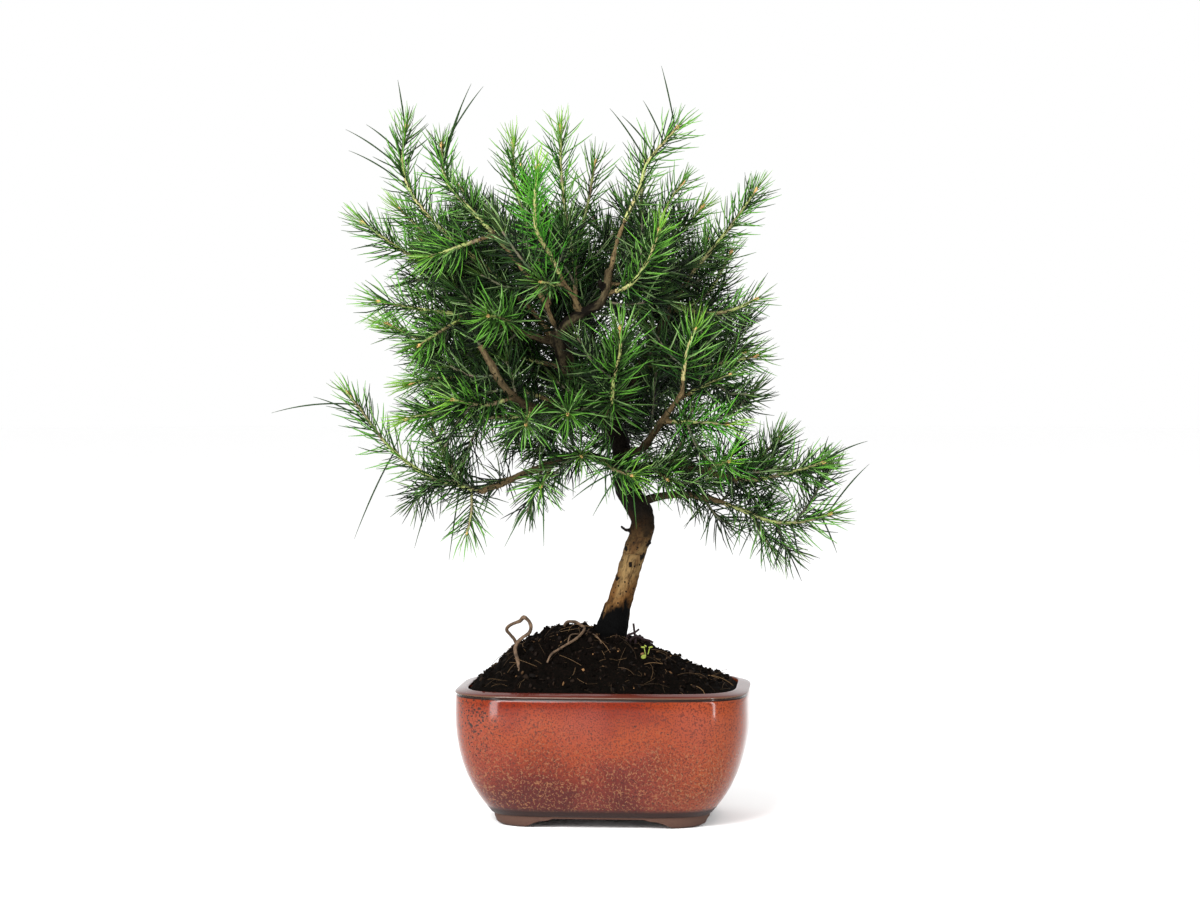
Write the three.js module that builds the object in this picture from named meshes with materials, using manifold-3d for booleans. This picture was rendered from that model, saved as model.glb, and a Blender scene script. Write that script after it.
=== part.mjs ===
// Aleppo pine bonsai in a glazed stoneware pot. Millimetres, +Z up.
// The tree is drawn in a frame of its own: x to the right as the front is seen, y away
// from the front, z up, with its origin on the ground below the middle of the pot.

import * as THREE from "three";
import { mergeVertices } from "three/addons/utils/BufferGeometryUtils.js";
import Module from "manifold-3d";

const wasm = await Module();
wasm.setup();

// Driving dimensions
const POT_HALF_LENGTH = 98;
const POT_HALF_WIDTH = 73;
const RIM_HEIGHT = 91;
const RIM_SLOPE = 2.6;
const RIM_WIDTH = 8;
const WALL = 8.5;
const FOOT_HEIGHT = 7.5;
const FLOOR_THICKNESS = 8.5;
const DRAIN_RADIUS = 6;
const DRAIN_OFFSET = 38;
const CORNER_POWER = 4.4;
const PLAN_SIDES = 28;
const CORNER_CROWDING = 0.1;
// Half length and height down the outer wall, and round a foot.
const OUTER_WALL = [[74, FOOT_HEIGHT], [80, 15], [87, 26], [93.5, 42], [97, 59], [POT_HALF_LENGTH, 74]];
const FOOT_RING = [[58, 0], [68, 0], [71.5, 1.6], [73, FOOT_HEIGHT + 1], [58, FOOT_HEIGHT + 1], [58, 0]];
const FLOOR_HALF_LENGTH = 70;
// Half widths of the openings between the feet, at the ground and at the top.
const FRONT_ARCH = [49, 30];
const SIDE_ARCH = [33, 18];

const HILL_HEIGHT = 45;
const HILL_TOP_X = -12;
const HILL_POWER = 1.5;
const SOIL_EDGE = 89;
const SOIL_BELOW_RIM = 2;
const LUMP_HEIGHT = 1.3;
const SOIL_RINGS = [1, 0.84, 0.66, 0.48, 0.3, 0.14, 0];

const TREE_TURN = THREE.MathUtils.degToRad(4.5);
const TRUNK_FOOT = new THREE.Vector3(4, 0, 0);
const TRUNK_FOOT_RADIUS = 11.5;
const TRUNK_FOOT_BOTTOM = 96;
const TRUNK_FOOT_TOP = 128;
const TRUNK_FOOT_SIDES = 12;
const FOOT_HOLE_DEPTH = 60;

const GAP = 0.3;
const NEEDLE_RADIUS = 0.55;
const NEEDLE_CLEARANCE = 0.45;
const NEEDLE_TRIES = 40;
const ROOTED_SHARE = 0.25;
const ROOT_INSET = 0.04;
const TIP_CROWDING = 0.8;
const LEAN_START = 1.22;
const LEAN_TIP = 0.38;
const LEAN_POWER = 1.6;
const LEAN_SPREAD = 0.4;
const AROUND_SPREAD = 0.5;
const AROUND_WIDENING = 0.12;
const SHORTEST_SHARE = 0.82;
const LENGTH_SPREAD = 0.36;
const SHORTER_AFTER = 24;
const SHORTER_SHARE = 0.75;
const SIDE_LENGTH_SHARE = 0.9;
const LONG_BEND = 0.05;
const GOLDEN_ANGLE = 2.39996;
const FIRST_SEED = 1000;
const SEED_STEP = 77;

const STEM_RADIUS = 1.7;
const STEM_TIP_RADIUS = 0.95;
const STEM_SIDES = 4;
const SIDE_RADIUS = 1.1;
const SIDE_NEEDLES = 8;
const THICK_LIMB = 6;
const TRUNK_STEP = 17;
const LIMB_STEP = 22;
const SHOOT_STEP = 26;
const ROOT_STEP = 6;
const ROOT_SIDES = 6;
const TWIG_SIDES = 4;
const HOLE_CLEARANCE = 0.42;

// Colours seen on the real thing
const GLAZE = 0xb4512f;
const PEAT = 0x17110d;
const BARK = 0x8a745a;
const OLD_ROOT = 0xb09a80;
const DEAD_WOOD = 0x2c1c18;
const SPROUT = 0xc2c67c;
const MATURE = 0x2f5f2c;
const FRESH = 0x5d9a38;
const NEW_GROWTH = 0x8fbf45;

// Each limb of bare wood: name, radius at its start, radius at its end, sides, points.
const LIMBS = [
  ["trunk", 9.4, 5.2, 9, [
    [4, 0, 124], [6, 0, 136], [10, 0, 145], [15, -1, 162], [21, -2, 182], [25, -3, 195],
    [26, -3, 205], [21, -2, 214], [17, 0, 223], [13, 3, 240], [9, 5, 257], [-3, 0, 273],
    [-17, -14, 290], [-27, -32, 312], [-31, -44, 328],
  ]],
  ["root flare", 11.5, 9, 12, [[4, 0, 127], [9, 0, 143]]],
  ["spur", 1.3, 0.8, 4, [[21, -4, 195], [15, -7, 196], [12, -8, 196]]],
  ["front branch", 4.8, 3.4, 5, [
    [-29, -38, 320], [-26, -48, 332], [-15, -55, 340], [-3, -58, 346], [1, -60, 356], [3, -62, 368],
  ]],
  ["cut branch", 3.8, 2.7, 5, [
    [-10, -6, 281], [-30, -28, 279], [-48, -48, 278], [-59, -60, 285], [-67, -68, 294],
    [-74, -72, 307], [-81, -74, 319],
  ]],
  ["low left branch", 4.2, 2.4, 5, [
    [14, 3, 234], [0, -6, 241], [-13, -16, 245], [-30, -26, 243], [-43, -32, 237],
    [-55, -36, 233], [-69, -38, 227], [-82, -38, 222],
  ]],
  ["low right branch", 4, 2.2, 5, [
    [22, -2, 206], [35, -12, 211], [44, -20, 216], [52, -26, 219], [63, -30, 218], [77, -32, 215],
  ]],
  ["right middle branch", 3.6, 2, 5, [
    [14, 2, 232], [31, -8, 238], [50, -18, 239], [67, -26, 235], [85, -32, 230],
  ]],
  ["right branch", 4, 2.2, 5, [
    [11, 3, 246], [24, -12, 249], [39, -32, 270], [51, -46, 287],
  ]],
  ["upper right branch", 4.6, 2.4, 5, [
    [3, 4, 264], [19, 22, 291], [32, 16, 319], [43, 6, 340], [52, 0, 357],
  ]],
  ["left middle branch", 3.6, 2, 5, [
    [-29, -38, 319], [-56, -34, 328], [-76, -32, 335], [-96, -35, 339],
  ]],
  ["back branch", 4, 2.2, 5, [
    [12, 4, 244], [8, 22, 262], [0, 44, 290], [-8, 62, 322],
  ]],
  ["back left branch", 4, 2.2, 5, [
    [0, 2, 270], [-24, 24, 290], [-50, 44, 312], [-78, 56, 334],
  ]],
  ["back right branch", 3.4, 2, 5, [
    [16, 19, 286], [38, 40, 310], [56, 52, 336],
  ]],
  ["top branch", 4, 2.2, 5, [
    [-27, -32, 312], [-32, -8, 345], [-36, 20, 375],
  ]],
];

// Each leafy shoot: name, length of bare wood before its first needles, number of needles,
// needle length, colour, points from the limb that carries it to its tip, long needles as
// [place along the shoot, tip], and side shoots as lists of points.
const SHOOTS = [
  ["leader", 38, 16, 24, MATURE,
    [[3, -62, 364], [9, -62, 389], [15, -62, 404], [22, -60, 419], [28, -58, 438], [39, -54, 452],
      [49, -50, 463]],
    [[0.95, 37, -54, 502], [0.55, 3, -58, 474], [0.66, 11, -58, 469], [0.78, 25, -58, 479]], []],
  ["bright_shoot", 34, 13, 21, NEW_GROWTH,
    [[-15, -55, 340], [-19, -60, 348], [-26, -68, 359], [-35, -76, 377], [-44, -82, 393],
      [-45, -85, 414], [-43, -86, 436]], [], []],
  ["upper_left_outer", 60, 16, 22, MATURE,
    [[-29, -38, 319], [-49, -30, 343], [-66, -28, 359], [-79, -30, 371], [-100, -34, 388],
      [-119, -32, 407], [-129, -30, 422], [-134, -28, 439], [-131, -26, 466]],
    [[0.95, -137, -26, 495], [0.76, -172, -28, 462], [0.66, -170, -28, 448], [0.84, -158, -30, 465]], []],
  ["upper_left_inner", 88, 15, 22, MATURE,
    [[-29, -40, 322], [-42, -52, 352], [-57, -60, 373], [-70, -62, 389], [-88, -62, 408],
      [-99, -58, 420], [-105, -54, 430], [-107, -50, 452]],
    [[0.83, -87, -50, 491], [0.92, -79, -50, 489], [0.76, -92, -50, 480]], []],
  ["left_upper", 80, 13, 24, MATURE,
    [[-28, -33, 313], [-50, -12, 340], [-76, -4, 356], [-102, -8, 368], [-130, -16, 379], [-163, -22, 402]],
    [], []],
  ["left_top_back", 8, 11, 24, FRESH,
    [[-76, -4, 356], [-98, 10, 374], [-120, 16, 393], [-140, 16, 412]], [], []],
  ["left_middle", 3, 12, 25, MATURE,
    [[-94, -35, 339], [-112, -37, 341], [-130, -40, 344], [-151, -42, 348]], [], []],
  ["left_low_middle", 20, 13, 25, FRESH,
    [[-22, -24, 302], [-46, -16, 308], [-72, -12, 313], [-100, -12, 317], [-124, -14, 323], [-147, -16, 334]],
    [], []],
  ["left_lower", 16, 12, 25, FRESH,
    [[-30, -28, 279], [-50, -16, 287], [-70, -16, 293], [-93, -22, 297], [-111, -26, 297], [-131, -30, 293]],
    [], []],
  ["left_edge", 14, 11, 24, FRESH,
    [[-39, -38, 278], [-60, -44, 272], [-84, -48, 272], [-112, -50, 274], [-133, -52, 270]], [], []],
  ["lower_left_branch", 2, 26, 23, MATURE,
    [[-82, -38, 222], [-96, -38, 226], [-106, -38, 228], [-119, -38, 234], [-134, -38, 244],
      [-147, -38, 257], [-161, -38, 276], [-171, -38, 289]],
    [[0.9, -221, -38, 274], [0.55, -166, -38, 190], [0.75, -193, -38, 285], [0.1, -103, -40, 176],
      [0.25, -126, -40, 184]],
    [[[-96, -38, 226], [-104, -44, 245], [-114, -48, 264]],
      [[-88, -38, 224], [-88, -42, 208], [-91, -46, 194]]]],
  ["lower_right_branch", 3, 23, 24, MATURE,
    [[77, -32, 215], [95, -34, 208], [111, -36, 202], [130, -38, 202], [151, -40, 208]],
    [[0.95, 175, -44, 241], [0.3, 107, -36, 168], [0.62, 130, -36, 171], [0.9, 154, -38, 181]],
    [[[97, -34, 207], [104, -26, 196], [112, -20, 182]]]],
  ["right_middle", 4, 14, 24, MATURE,
    [[85, -32, 230], [100, -36, 230], [119, -40, 234], [146, -44, 242]], [[0.95, 174, -46, 256]],
    [[[95, -35, 230], [104, -28, 244], [117, -22, 258]]]],
  ["yellow_stem_shoot", 10, 12, 25, FRESH,
    [[51, -46, 287], [52, -52, 302], [55, -54, 318], [60, -56, 331]], [], []],
  ["diagonal_shoot", 8, 16, 22, MATURE,
    [[52, 0, 357], [62, -4, 371], [73, -8, 384], [87, -12, 402], [102, -16, 424]], [], []],
  ["right_inner_shoot", 8, 11, 22, MATURE,
    [[43, 6, 340], [58, 16, 346], [70, 22, 354], [79, 24, 368], [87, 24, 384]], [], []],
  ["right_top_shoot", 14, 11, 22, FRESH,
    [[32, 16, 319], [34, 26, 352], [42, 26, 379], [56, 22, 400], [68, 18, 414]], [], []],
  ["cream_shoot", 12, 11, 22, MATURE,
    [[2, -60, 358], [20, -52, 362], [29, -44, 376], [35, -38, 396], [43, -34, 414], [53, -30, 428]], [], []],
  ["front_right_small", 8, 11, 22, FRESH,
    [[0, -59, 352], [16, -64, 358], [28, -68, 374], [36, -70, 396]], [], []],
  ["top_left_centre", 14, 13, 23, FRESH,
    [[-36, -50, 345], [-44, -30, 375], [-54, -18, 405], [-60, -14, 430], [-61, -12, 456]], [], []],
  ["top_centre", 14, 13, 24, FRESH,
    [[-19, -57, 343], [-20, -40, 371], [-25, -30, 401], [-29, -24, 437], [-29, -20, 466]], [], []],
  ["top_right_centre", 14, 11, 24, MATURE,
    [[-33, 0, 353], [-20, 2, 380], [-12, 6, 410], [-6, 8, 444]], [], []],
  ["front_rosette_left", 12, 11, 27, MATURE,
    [[-56, -34, 328], [-62, -58, 334], [-69, -80, 337], [-76, -96, 338]], [], []],
  ["front_rosette_top", 12, 11, 25, MATURE,
    [[-26, -68, 359], [-32, -86, 358], [-42, -102, 360]], [], []],
  ["front_rosette_low_left", 14, 12, 27, MATURE,
    [[-48, -48, 278], [-50, -66, 273], [-51, -86, 267]], [], []],
  ["front_rosette_low", 12, 11, 26, MATURE,
    [[-28, -26, 279], [-24, -50, 276], [-24, -80, 274]], [], []],
  ["front_rosette_under", 18, 11, 25, MATURE,
    [[-16, -17, 245], [-16, -38, 248], [-15, -62, 246]], [], []],
  ["trunk_rosette", 16, 11, 26, FRESH,
    [[0, -6, 241], [0, -24, 240], [8, -40, 236], [19, -52, 233]], [], []],
  ["front_rosette_right", 18, 11, 25, MATURE,
    [[31, -8, 238], [36, -28, 234], [42, -50, 230]], [], []],
  ["low_rosette_left", 16, 11, 25, FRESH,
    [[-34, -28, 241], [-38, -44, 233], [-42, -62, 226]], [[0.65, -40, -50, 186], [0.9, -66, -56, 186]], []],
  ["centre_rosette", 30, 16, 29, MATURE,
    [[-1, 2, 271], [4, -30, 278], [5, -58, 284], [6, -68, 298], [10, -76, 314], [10, -84, 332]], [], []],
  ["right_rosette_high", 10, 12, 25, NEW_GROWTH,
    [[37, -30, 268], [60, -44, 268], [82, -54, 267]], [], []],
  ["right_rosette_low", 12, 13, 25, NEW_GROWTH,
    [[67, -26, 235], [75, -42, 240], [82, -60, 243]], [], []],
  ["right_front_shoot", 10, 11, 24, MATURE,
    [[48, -42, 283], [66, -38, 292], [84, -40, 300]], [], []],
  ["left_front_upper", 12, 11, 24, FRESH,
    [[-72, -62, 391], [-92, -68, 384], [-114, -74, 376]], [], []],
  ["left_front_low", 8, 11, 25, MATURE,
    [[-90, -34, 338], [-104, -56, 330], [-122, -74, 318]], [], []],
  ["left_front_under", 8, 11, 25, FRESH,
    [[-59, -60, 285], [-78, -70, 280], [-100, -84, 284]], [], []],
  ["right_outer_high", 8, 11, 24, MATURE,
    [[46, 4, 346], [66, -14, 340], [84, -26, 342], [102, -34, 350]], [], []],
  ["right_outer_low", 12, 11, 24, MATURE,
    [[26, 20, 304], [52, 14, 304], [78, 8, 306], [104, 2, 312]], [], []],
  ["back_top_left", 10, 11, 24, MATURE,
    [[-36, 20, 375], [-46, 40, 408], [-58, 54, 444]], [], []],
  ["back_upper_left", 10, 11, 24, MATURE,
    [[-35, 10, 365], [-68, 32, 390], [-102, 46, 430]], [], []],
  ["back_left_high", 6, 11, 25, MATURE,
    [[-78, 56, 334], [-104, 60, 362], [-128, 58, 394]], [], []],
  ["back_left_middle", 8, 11, 25, MATURE,
    [[-50, 44, 312], [-68, 74, 330], [-88, 100, 350]], [], []],
  ["back_left_low", 10, 11, 25, MATURE,
    [[-50, 44, 312], [-84, 60, 304], [-120, 74, 290]], [], []],
  ["back_left_under", 12, 11, 25, FRESH,
    [[-24, 24, 290], [-44, 58, 274], [-66, 92, 256]], [], []],
  ["back_high", 8, 11, 25, FRESH,
    [[-8, 62, 322], [-14, 80, 352], [-22, 88, 386]], [], []],
  ["back_middle", 10, 11, 25, MATURE,
    [[0, 44, 290], [-6, 76, 302], [-12, 112, 312]], [], []],
  ["back_low", 12, 11, 25, MATURE,
    [[8, 22, 262], [8, 56, 258], [6, 96, 250]], [], []],
  ["back_right_high", 6, 11, 25, MATURE,
    [[56, 52, 336], [66, 68, 364], [72, 80, 394]], [], []],
  ["back_right_middle", 8, 11, 25, FRESH,
    [[38, 40, 310], [66, 50, 310], [98, 58, 314]], [], []],
  ["back_right_low", 12, 11, 25, MATURE,
    [[18, 21, 289], [36, 60, 288], [52, 104, 294]], [], []],
  ["back_right_top", 14, 11, 24, MATURE,
    [[32, 17, 319], [22, 40, 356], [24, 54, 402], [28, 60, 446]], [], []],
];

// Roots, twig and sprout that stand in the soil. The third number of a point is its height
// over the surface of the soil, so a buried end is below zero.
const LOOP_ROOT = [
  [-60, -14, -12], [-62, -14, 6], [-66, -16, 15], [-62, -20, 19], [-54, -24, 20], [-49, -28, 14],
  [-51, -33, 9], [-57, -38, 5], [-58, -42, 2], [-56, -47, -3], [-55, -50, -12],
];
const LOOP_ROOT_RADII = [1.9, 1.5];
const FRONT_ROOT = [
  [-30, -4, -12], [-26, -9, 1], [-18, -12, 3], [-12, -17, 2.4], [-15, -25, 1.6], [-26, -32, 1.2],
  [-36, -38, 0.8], [-44, -44, -4], [-47, -47, -12],
];
const FRONT_ROOT_RADII = [1.7, 1.2];
const TWIG_STEM = [[21, -9, -12], [21, -9, 2], [20, -9, 9]];
const TWIG_FORK = [[20.6, -9, 4], [24, -10, 7], [26, -10, 10]];
const TWIG_SIDE = [[21, -9, 1], [27, -10, 5], [34, -12, 7]];
const TWIG_RADII = [1.1, 0.6];
const SPROUT_STEM = [[29, -24, -10], [29, -24, 2], [27, -23, 7], [30, -24, 10]];
const SPROUT_SIDE = [[29, -24, 1], [33, -25, 5], [34, -26, 9]];
const SPROUT_RADII = [0.8, 0.5];
const SPROUT_LEAF_SIZE = [3.4, 1.6, 1];

// A seeded draw between 0 and 1.
function seededDraw(seed) {
  let state = seed >>> 0;
  return () => {
    state = (Math.imul(state, 1664525) + 1013904223) >>> 0;
    return state / 4294967296;
  };
}

// A closed solid from a geometry: shared corners are merged and flat triangles dropped.
function solidOf(geometry) {
  const bare = geometry.clone();
  bare.deleteAttribute("normal");
  bare.deleteAttribute("uv");
  const merged = mergeVertices(bare, 1e-4);
  const index = merged.index.array;
  const kept = [];
  for (let i = 0; i < index.length; i += 3) {
    const [a, b, c] = [index[i], index[i + 1], index[i + 2]];
    if (a !== b && b !== c && c !== a) {
      kept.push(a, b, c);
    }
  }
  return new wasm.Manifold(new wasm.Mesh({
    numProp: 3,
    vertProperties: new Float32Array(merged.attributes.position.array),
    triVerts: new Uint32Array(kept),
  }));
}

// A three.js geometry from a solid.
function geometryOf(solid) {
  const mesh = solid.getMesh();
  const geometry = new THREE.BufferGeometry();
  geometry.setAttribute("position", new THREE.BufferAttribute(mesh.vertProperties, 3));
  geometry.setIndex(new THREE.BufferAttribute(mesh.triVerts, 1));
  geometry.computeVertexNormals();
  return geometry;
}

// One body from many that overlap.
function fuse(solids) {
  return solids.reduce((whole, piece) => whole.add(piece));
}

// A named mesh of a solid in its own colour.
function piece(name, solid, color, roughness) {
  const material = new THREE.MeshStandardMaterial({ color, roughness, metalness: 0 });
  const mesh = new THREE.Mesh(geometryOf(solid), material);
  mesh.name = name;
  return mesh;
}

// The pot's plan is a rectangle with round corners: how far its edge lies in a direction,
// as a share of the half length.
function planReach(cosine, sine) {
  const along = Math.abs(cosine) ** CORNER_POWER;
  const across = (Math.abs(sine) * POT_HALF_LENGTH / POT_HALF_WIDTH) ** CORNER_POWER;
  return (along + across) ** (-1 / CORNER_POWER);
}

// How far a point lies towards the pot's edge: 0 at the middle, 1 on the soil's edge.
function planShare(x, y) {
  const radius = Math.hypot(x, y);
  if (radius === 0) {
    return 0;
  }
  return radius / (planReach(x / radius, y / radius) * SOIL_EDGE);
}

// A turned shape in the pot's plan, from a profile of [half length, height] points. Its
// sides crowd towards the corners of the plan.
function turned(profile, sides) {
  const points = profile.map(([reach, height]) => new THREE.Vector2(reach, height));
  const geometry = new THREE.LatheGeometry(points, sides);
  geometry.rotateX(Math.PI / 2);
  const position = geometry.attributes.position;
  for (let i = 0; i < position.count; i += 1) {
    const radius = Math.hypot(position.getX(i), position.getY(i));
    const even = Math.atan2(position.getY(i), position.getX(i));
    const angle = even + CORNER_CROWDING * Math.sin(4 * even);
    const reach = radius * planReach(Math.cos(angle), Math.sin(angle));
    position.setXY(i, Math.cos(angle) * reach, Math.sin(angle) * reach);
  }
  return geometry;
}

function potSolid() {
  const rimOuter = RIM_HEIGHT - RIM_SLOPE;
  const inner = OUTER_WALL.slice(2).map(([reach, height]) => [reach - WALL, height]).reverse();
  const floorTop = FOOT_HEIGHT + FLOOR_THICKNESS;
  const body = solidOf(turned([
    [0, FOOT_HEIGHT],
    ...OUTER_WALL,
    [POT_HALF_LENGTH, rimOuter],
    [POT_HALF_LENGTH - RIM_WIDTH, RIM_HEIGHT],
    ...inner.filter(([, height]) => height > floorTop),
    [FLOOR_HALF_LENGTH, floorTop],
    [0, floorTop],
  ], PLAN_SIDES));
  const feet = solidOf(turned(FOOT_RING, PLAN_SIDES));
  const archHeight = FOOT_HEIGHT - 1;
  const frontArch = archSolid(FRONT_ARCH, archHeight, 2 * POT_HALF_WIDTH);
  const sideArch = archSolid(SIDE_ARCH, archHeight, 2 * POT_HALF_LENGTH).rotate([0, 0, 90]);
  const drain = new THREE.CylinderGeometry(DRAIN_RADIUS, DRAIN_RADIUS, 30, 12);
  drain.rotateX(Math.PI / 2);
  const drains = [-DRAIN_OFFSET, DRAIN_OFFSET].map((x) => solidOf(drain.clone().translate(x, 0, 12)));
  return body.add(feet.subtract(frontArch).subtract(sideArch)).subtract(drains[0]).subtract(drains[1]);
}

// The opening between two feet, with an S curve down to each.
function archSolid([halfFoot, halfTop], height, depth) {
  const middle = (halfFoot + halfTop) / 2;
  const shape = new THREE.Shape();
  shape.moveTo(-halfFoot, -1);
  shape.lineTo(-halfFoot, 0);
  shape.quadraticCurveTo(-middle - 4, height * 0.6, -middle, height * 0.68);
  shape.quadraticCurveTo(-halfTop - 4, height * 0.75, -halfTop, height);
  shape.lineTo(halfTop, height);
  shape.quadraticCurveTo(halfTop + 4, height * 0.75, middle, height * 0.68);
  shape.quadraticCurveTo(middle + 4, height * 0.6, halfFoot, 0);
  shape.lineTo(halfFoot, -1);
  const geometry = new THREE.ExtrudeGeometry(shape, { depth, bevelEnabled: false, curveSegments: 3 });
  geometry.translate(0, 0, -depth / 2);
  geometry.rotateX(Math.PI / 2);
  return solidOf(geometry);
}

// The surface of the soil: a hill with its top left of the middle, and a few low lumps.
function soilHeight(x, y) {
  const side = x > HILL_TOP_X ? SOIL_EDGE - HILL_TOP_X : SOIL_EDGE + HILL_TOP_X;
  const share = Math.min(1, planShare((x - HILL_TOP_X) * SOIL_EDGE / side, y));
  const lumps = LUMP_HEIGHT * Math.sin(x * 0.19 + y * 0.11) * Math.sin(y * 0.16 - x * 0.07);
  return RIM_HEIGHT - SOIL_BELOW_RIM + HILL_HEIGHT * (1 - share ** HILL_POWER) + lumps * (1 - share);
}

function soilSolid(holes) {
  const clear = WALL + 2 * GAP;
  const wall = OUTER_WALL.slice(2).map(([reach, height]) => [reach - clear, height]);
  const floorTop = FOOT_HEIGHT + FLOOR_THICKNESS + GAP;
  const mark = 1000;
  const geometry = turned([
    [0, floorTop],
    [FLOOR_HALF_LENGTH - 5 * GAP, floorTop],
    ...wall,
    ...SOIL_RINGS.map((share) => [share * SOIL_EDGE, mark]),
  ], PLAN_SIDES);
  const position = geometry.attributes.position;
  for (let i = 0; i < position.count; i += 1) {
    if (position.getZ(i) === mark) {
      position.setZ(i, soilHeight(position.getX(i), position.getY(i)));
    }
  }
  return holes.reduce((soil, hole) => soil.subtract(hole), solidOf(geometry));
}

// Right-angled directions across a path, carried along it without twist.
function framesAlong(curve, from, to, steps) {
  const frames = [];
  let across = new THREE.Vector3(0, 1, 0.3);
  for (let i = 0; i <= steps; i += 1) {
    const share = Math.min(1, from + (to - from) * i / steps);
    const tangent = curve.getTangentAt(share);
    across = across.clone().addScaledVector(tangent, -across.dot(tangent)).normalize();
    frames.push({
      centre: curve.getPointAt(share),
      tangent,
      across,
      aside: new THREE.Vector3().crossVectors(across, tangent),
    });
  }
  return frames;
}

// A tapered limb of few sides through a row of frames.
function limbGeometry(frames, startRadius, endRadius, sides) {
  const steps = frames.length - 1;
  const geometry = new THREE.CylinderGeometry(1, 1, 1, sides, steps);
  const position = geometry.attributes.position;
  for (let i = 0; i < position.count; i += 1) {
    const share = position.getY(i) + 0.5;
    const frame = frames[Math.round(share * steps)];
    const radius = THREE.MathUtils.lerp(startRadius, endRadius, share);
    const place = frame.centre.clone();
    place.addScaledVector(frame.across, position.getX(i) * radius);
    place.addScaledVector(frame.aside, position.getZ(i) * radius);
    position.setXYZ(i, place.x, place.y, place.z);
  }
  return geometry;
}

// The frame at a share of the way along a limb's own straight steps.
function frameAt(frames, share) {
  const place = THREE.MathUtils.clamp(share, 0, 1) * (frames.length - 1);
  const step = Math.min(frames.length - 2, Math.floor(place));
  const [before, after] = [frames[step], frames[step + 1]];
  const mix = (name) => before[name].clone().lerp(after[name], place - step);
  return {
    centre: mix("centre"),
    tangent: mix("tangent").normalize(),
    across: mix("across").normalize(),
    aside: mix("aside").normalize(),
  };
}

function curveThrough(points) {
  return new THREE.CatmullRomCurve3(points.map((point) => new THREE.Vector3(...point)), false, "centripetal");
}

// Every straight stretch already in the crown, as capsules to keep clear of.
const taken = [];

function takeStretch(owner, start, end, radius, rooted) {
  const middle = start.clone().add(end).multiplyScalar(0.5);
  const free = start.clone().lerp(end, rooted ? ROOTED_SHARE : 0);
  taken.push({ owner, start, free, end, radius, middle, half: start.distanceTo(end) / 2 });
}

function takeLimb(owner, frames, startRadius, endRadius) {
  for (let i = 1; i < frames.length; i += 1) {
    const radius = THREE.MathUtils.lerp(startRadius, endRadius, (i - 1) / (frames.length - 1));
    takeStretch(owner, frames[i - 1].centre, frames[i].centre, radius, false);
  }
}

// The shortest way between two straight stretches.
function stretchDistance(p, q, r, s) {
  const u = q.clone().sub(p);
  const v = s.clone().sub(r);
  const w = p.clone().sub(r);
  const a = u.dot(u);
  const b = u.dot(v);
  const c = v.dot(v);
  const d = u.dot(w);
  const e = v.dot(w);
  const spread = a * c - b * b;
  let alongFirst = spread > 1e-9 ? THREE.MathUtils.clamp((b * e - c * d) / spread, 0, 1) : 0;
  const alongSecond = THREE.MathUtils.clamp((b * alongFirst + e) / c, 0, 1);
  alongFirst = THREE.MathUtils.clamp((b * alongSecond - d) / a, 0, 1);
  const first = p.clone().addScaledVector(u, alongFirst);
  const second = r.clone().addScaledVector(v, alongSecond);
  return first.distanceTo(second);
}

// Whether a needle between two points would stay clear of all that is taken.
function isClear(owner, start, end) {
  const middle = start.clone().add(end).multiplyScalar(0.5);
  const half = start.distanceTo(end) / 2;
  const free = start.clone().lerp(end, ROOTED_SHARE);
  return taken.every((other) => {
    const reach = other.radius + NEEDLE_RADIUS + NEEDLE_CLEARANCE;
    if (middle.distanceTo(other.middle) > half + other.half + reach) {
      return true;
    }
    if (other.owner === owner) {
      return stretchDistance(free, end, other.free, other.end) > reach;
    }
    return stretchDistance(start, end, other.start, other.end) > reach;
  });
}

// A needle: a slender three-sided spike with its root on the stem's axis. A bend moves its
// middle aside, and a bent needle has two steps.
function needleSolid(root, tip, bend) {
  const length = root.distanceTo(tip);
  const steps = bend ? 2 : 1;
  const geometry = new THREE.ConeGeometry(NEEDLE_RADIUS, length, 3, steps);
  geometry.translate(0, length / 2, 0);
  const up = new THREE.Vector3(0, 1, 0);
  geometry.applyQuaternion(new THREE.Quaternion().setFromUnitVectors(up, tip.clone().sub(root).normalize()));
  geometry.translate(root.x, root.y, root.z);
  if (bend) {
    bendNeedle(geometry, root, tip, bend);
  }
  return solidOf(geometry);
}

function bendNeedle(geometry, root, tip, bend) {
  const axis = tip.clone().sub(root);
  const position = geometry.attributes.position;
  const place = new THREE.Vector3();
  for (let i = 0; i < position.count; i += 1) {
    place.fromBufferAttribute(position, i);
    const share = THREE.MathUtils.clamp(place.clone().sub(root).dot(axis) / axis.lengthSq(), 0, 1);
    place.addScaledVector(bend, 4 * share * (1 - share));
    position.setXYZ(i, place.x, place.y, place.z);
  }
}

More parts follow.
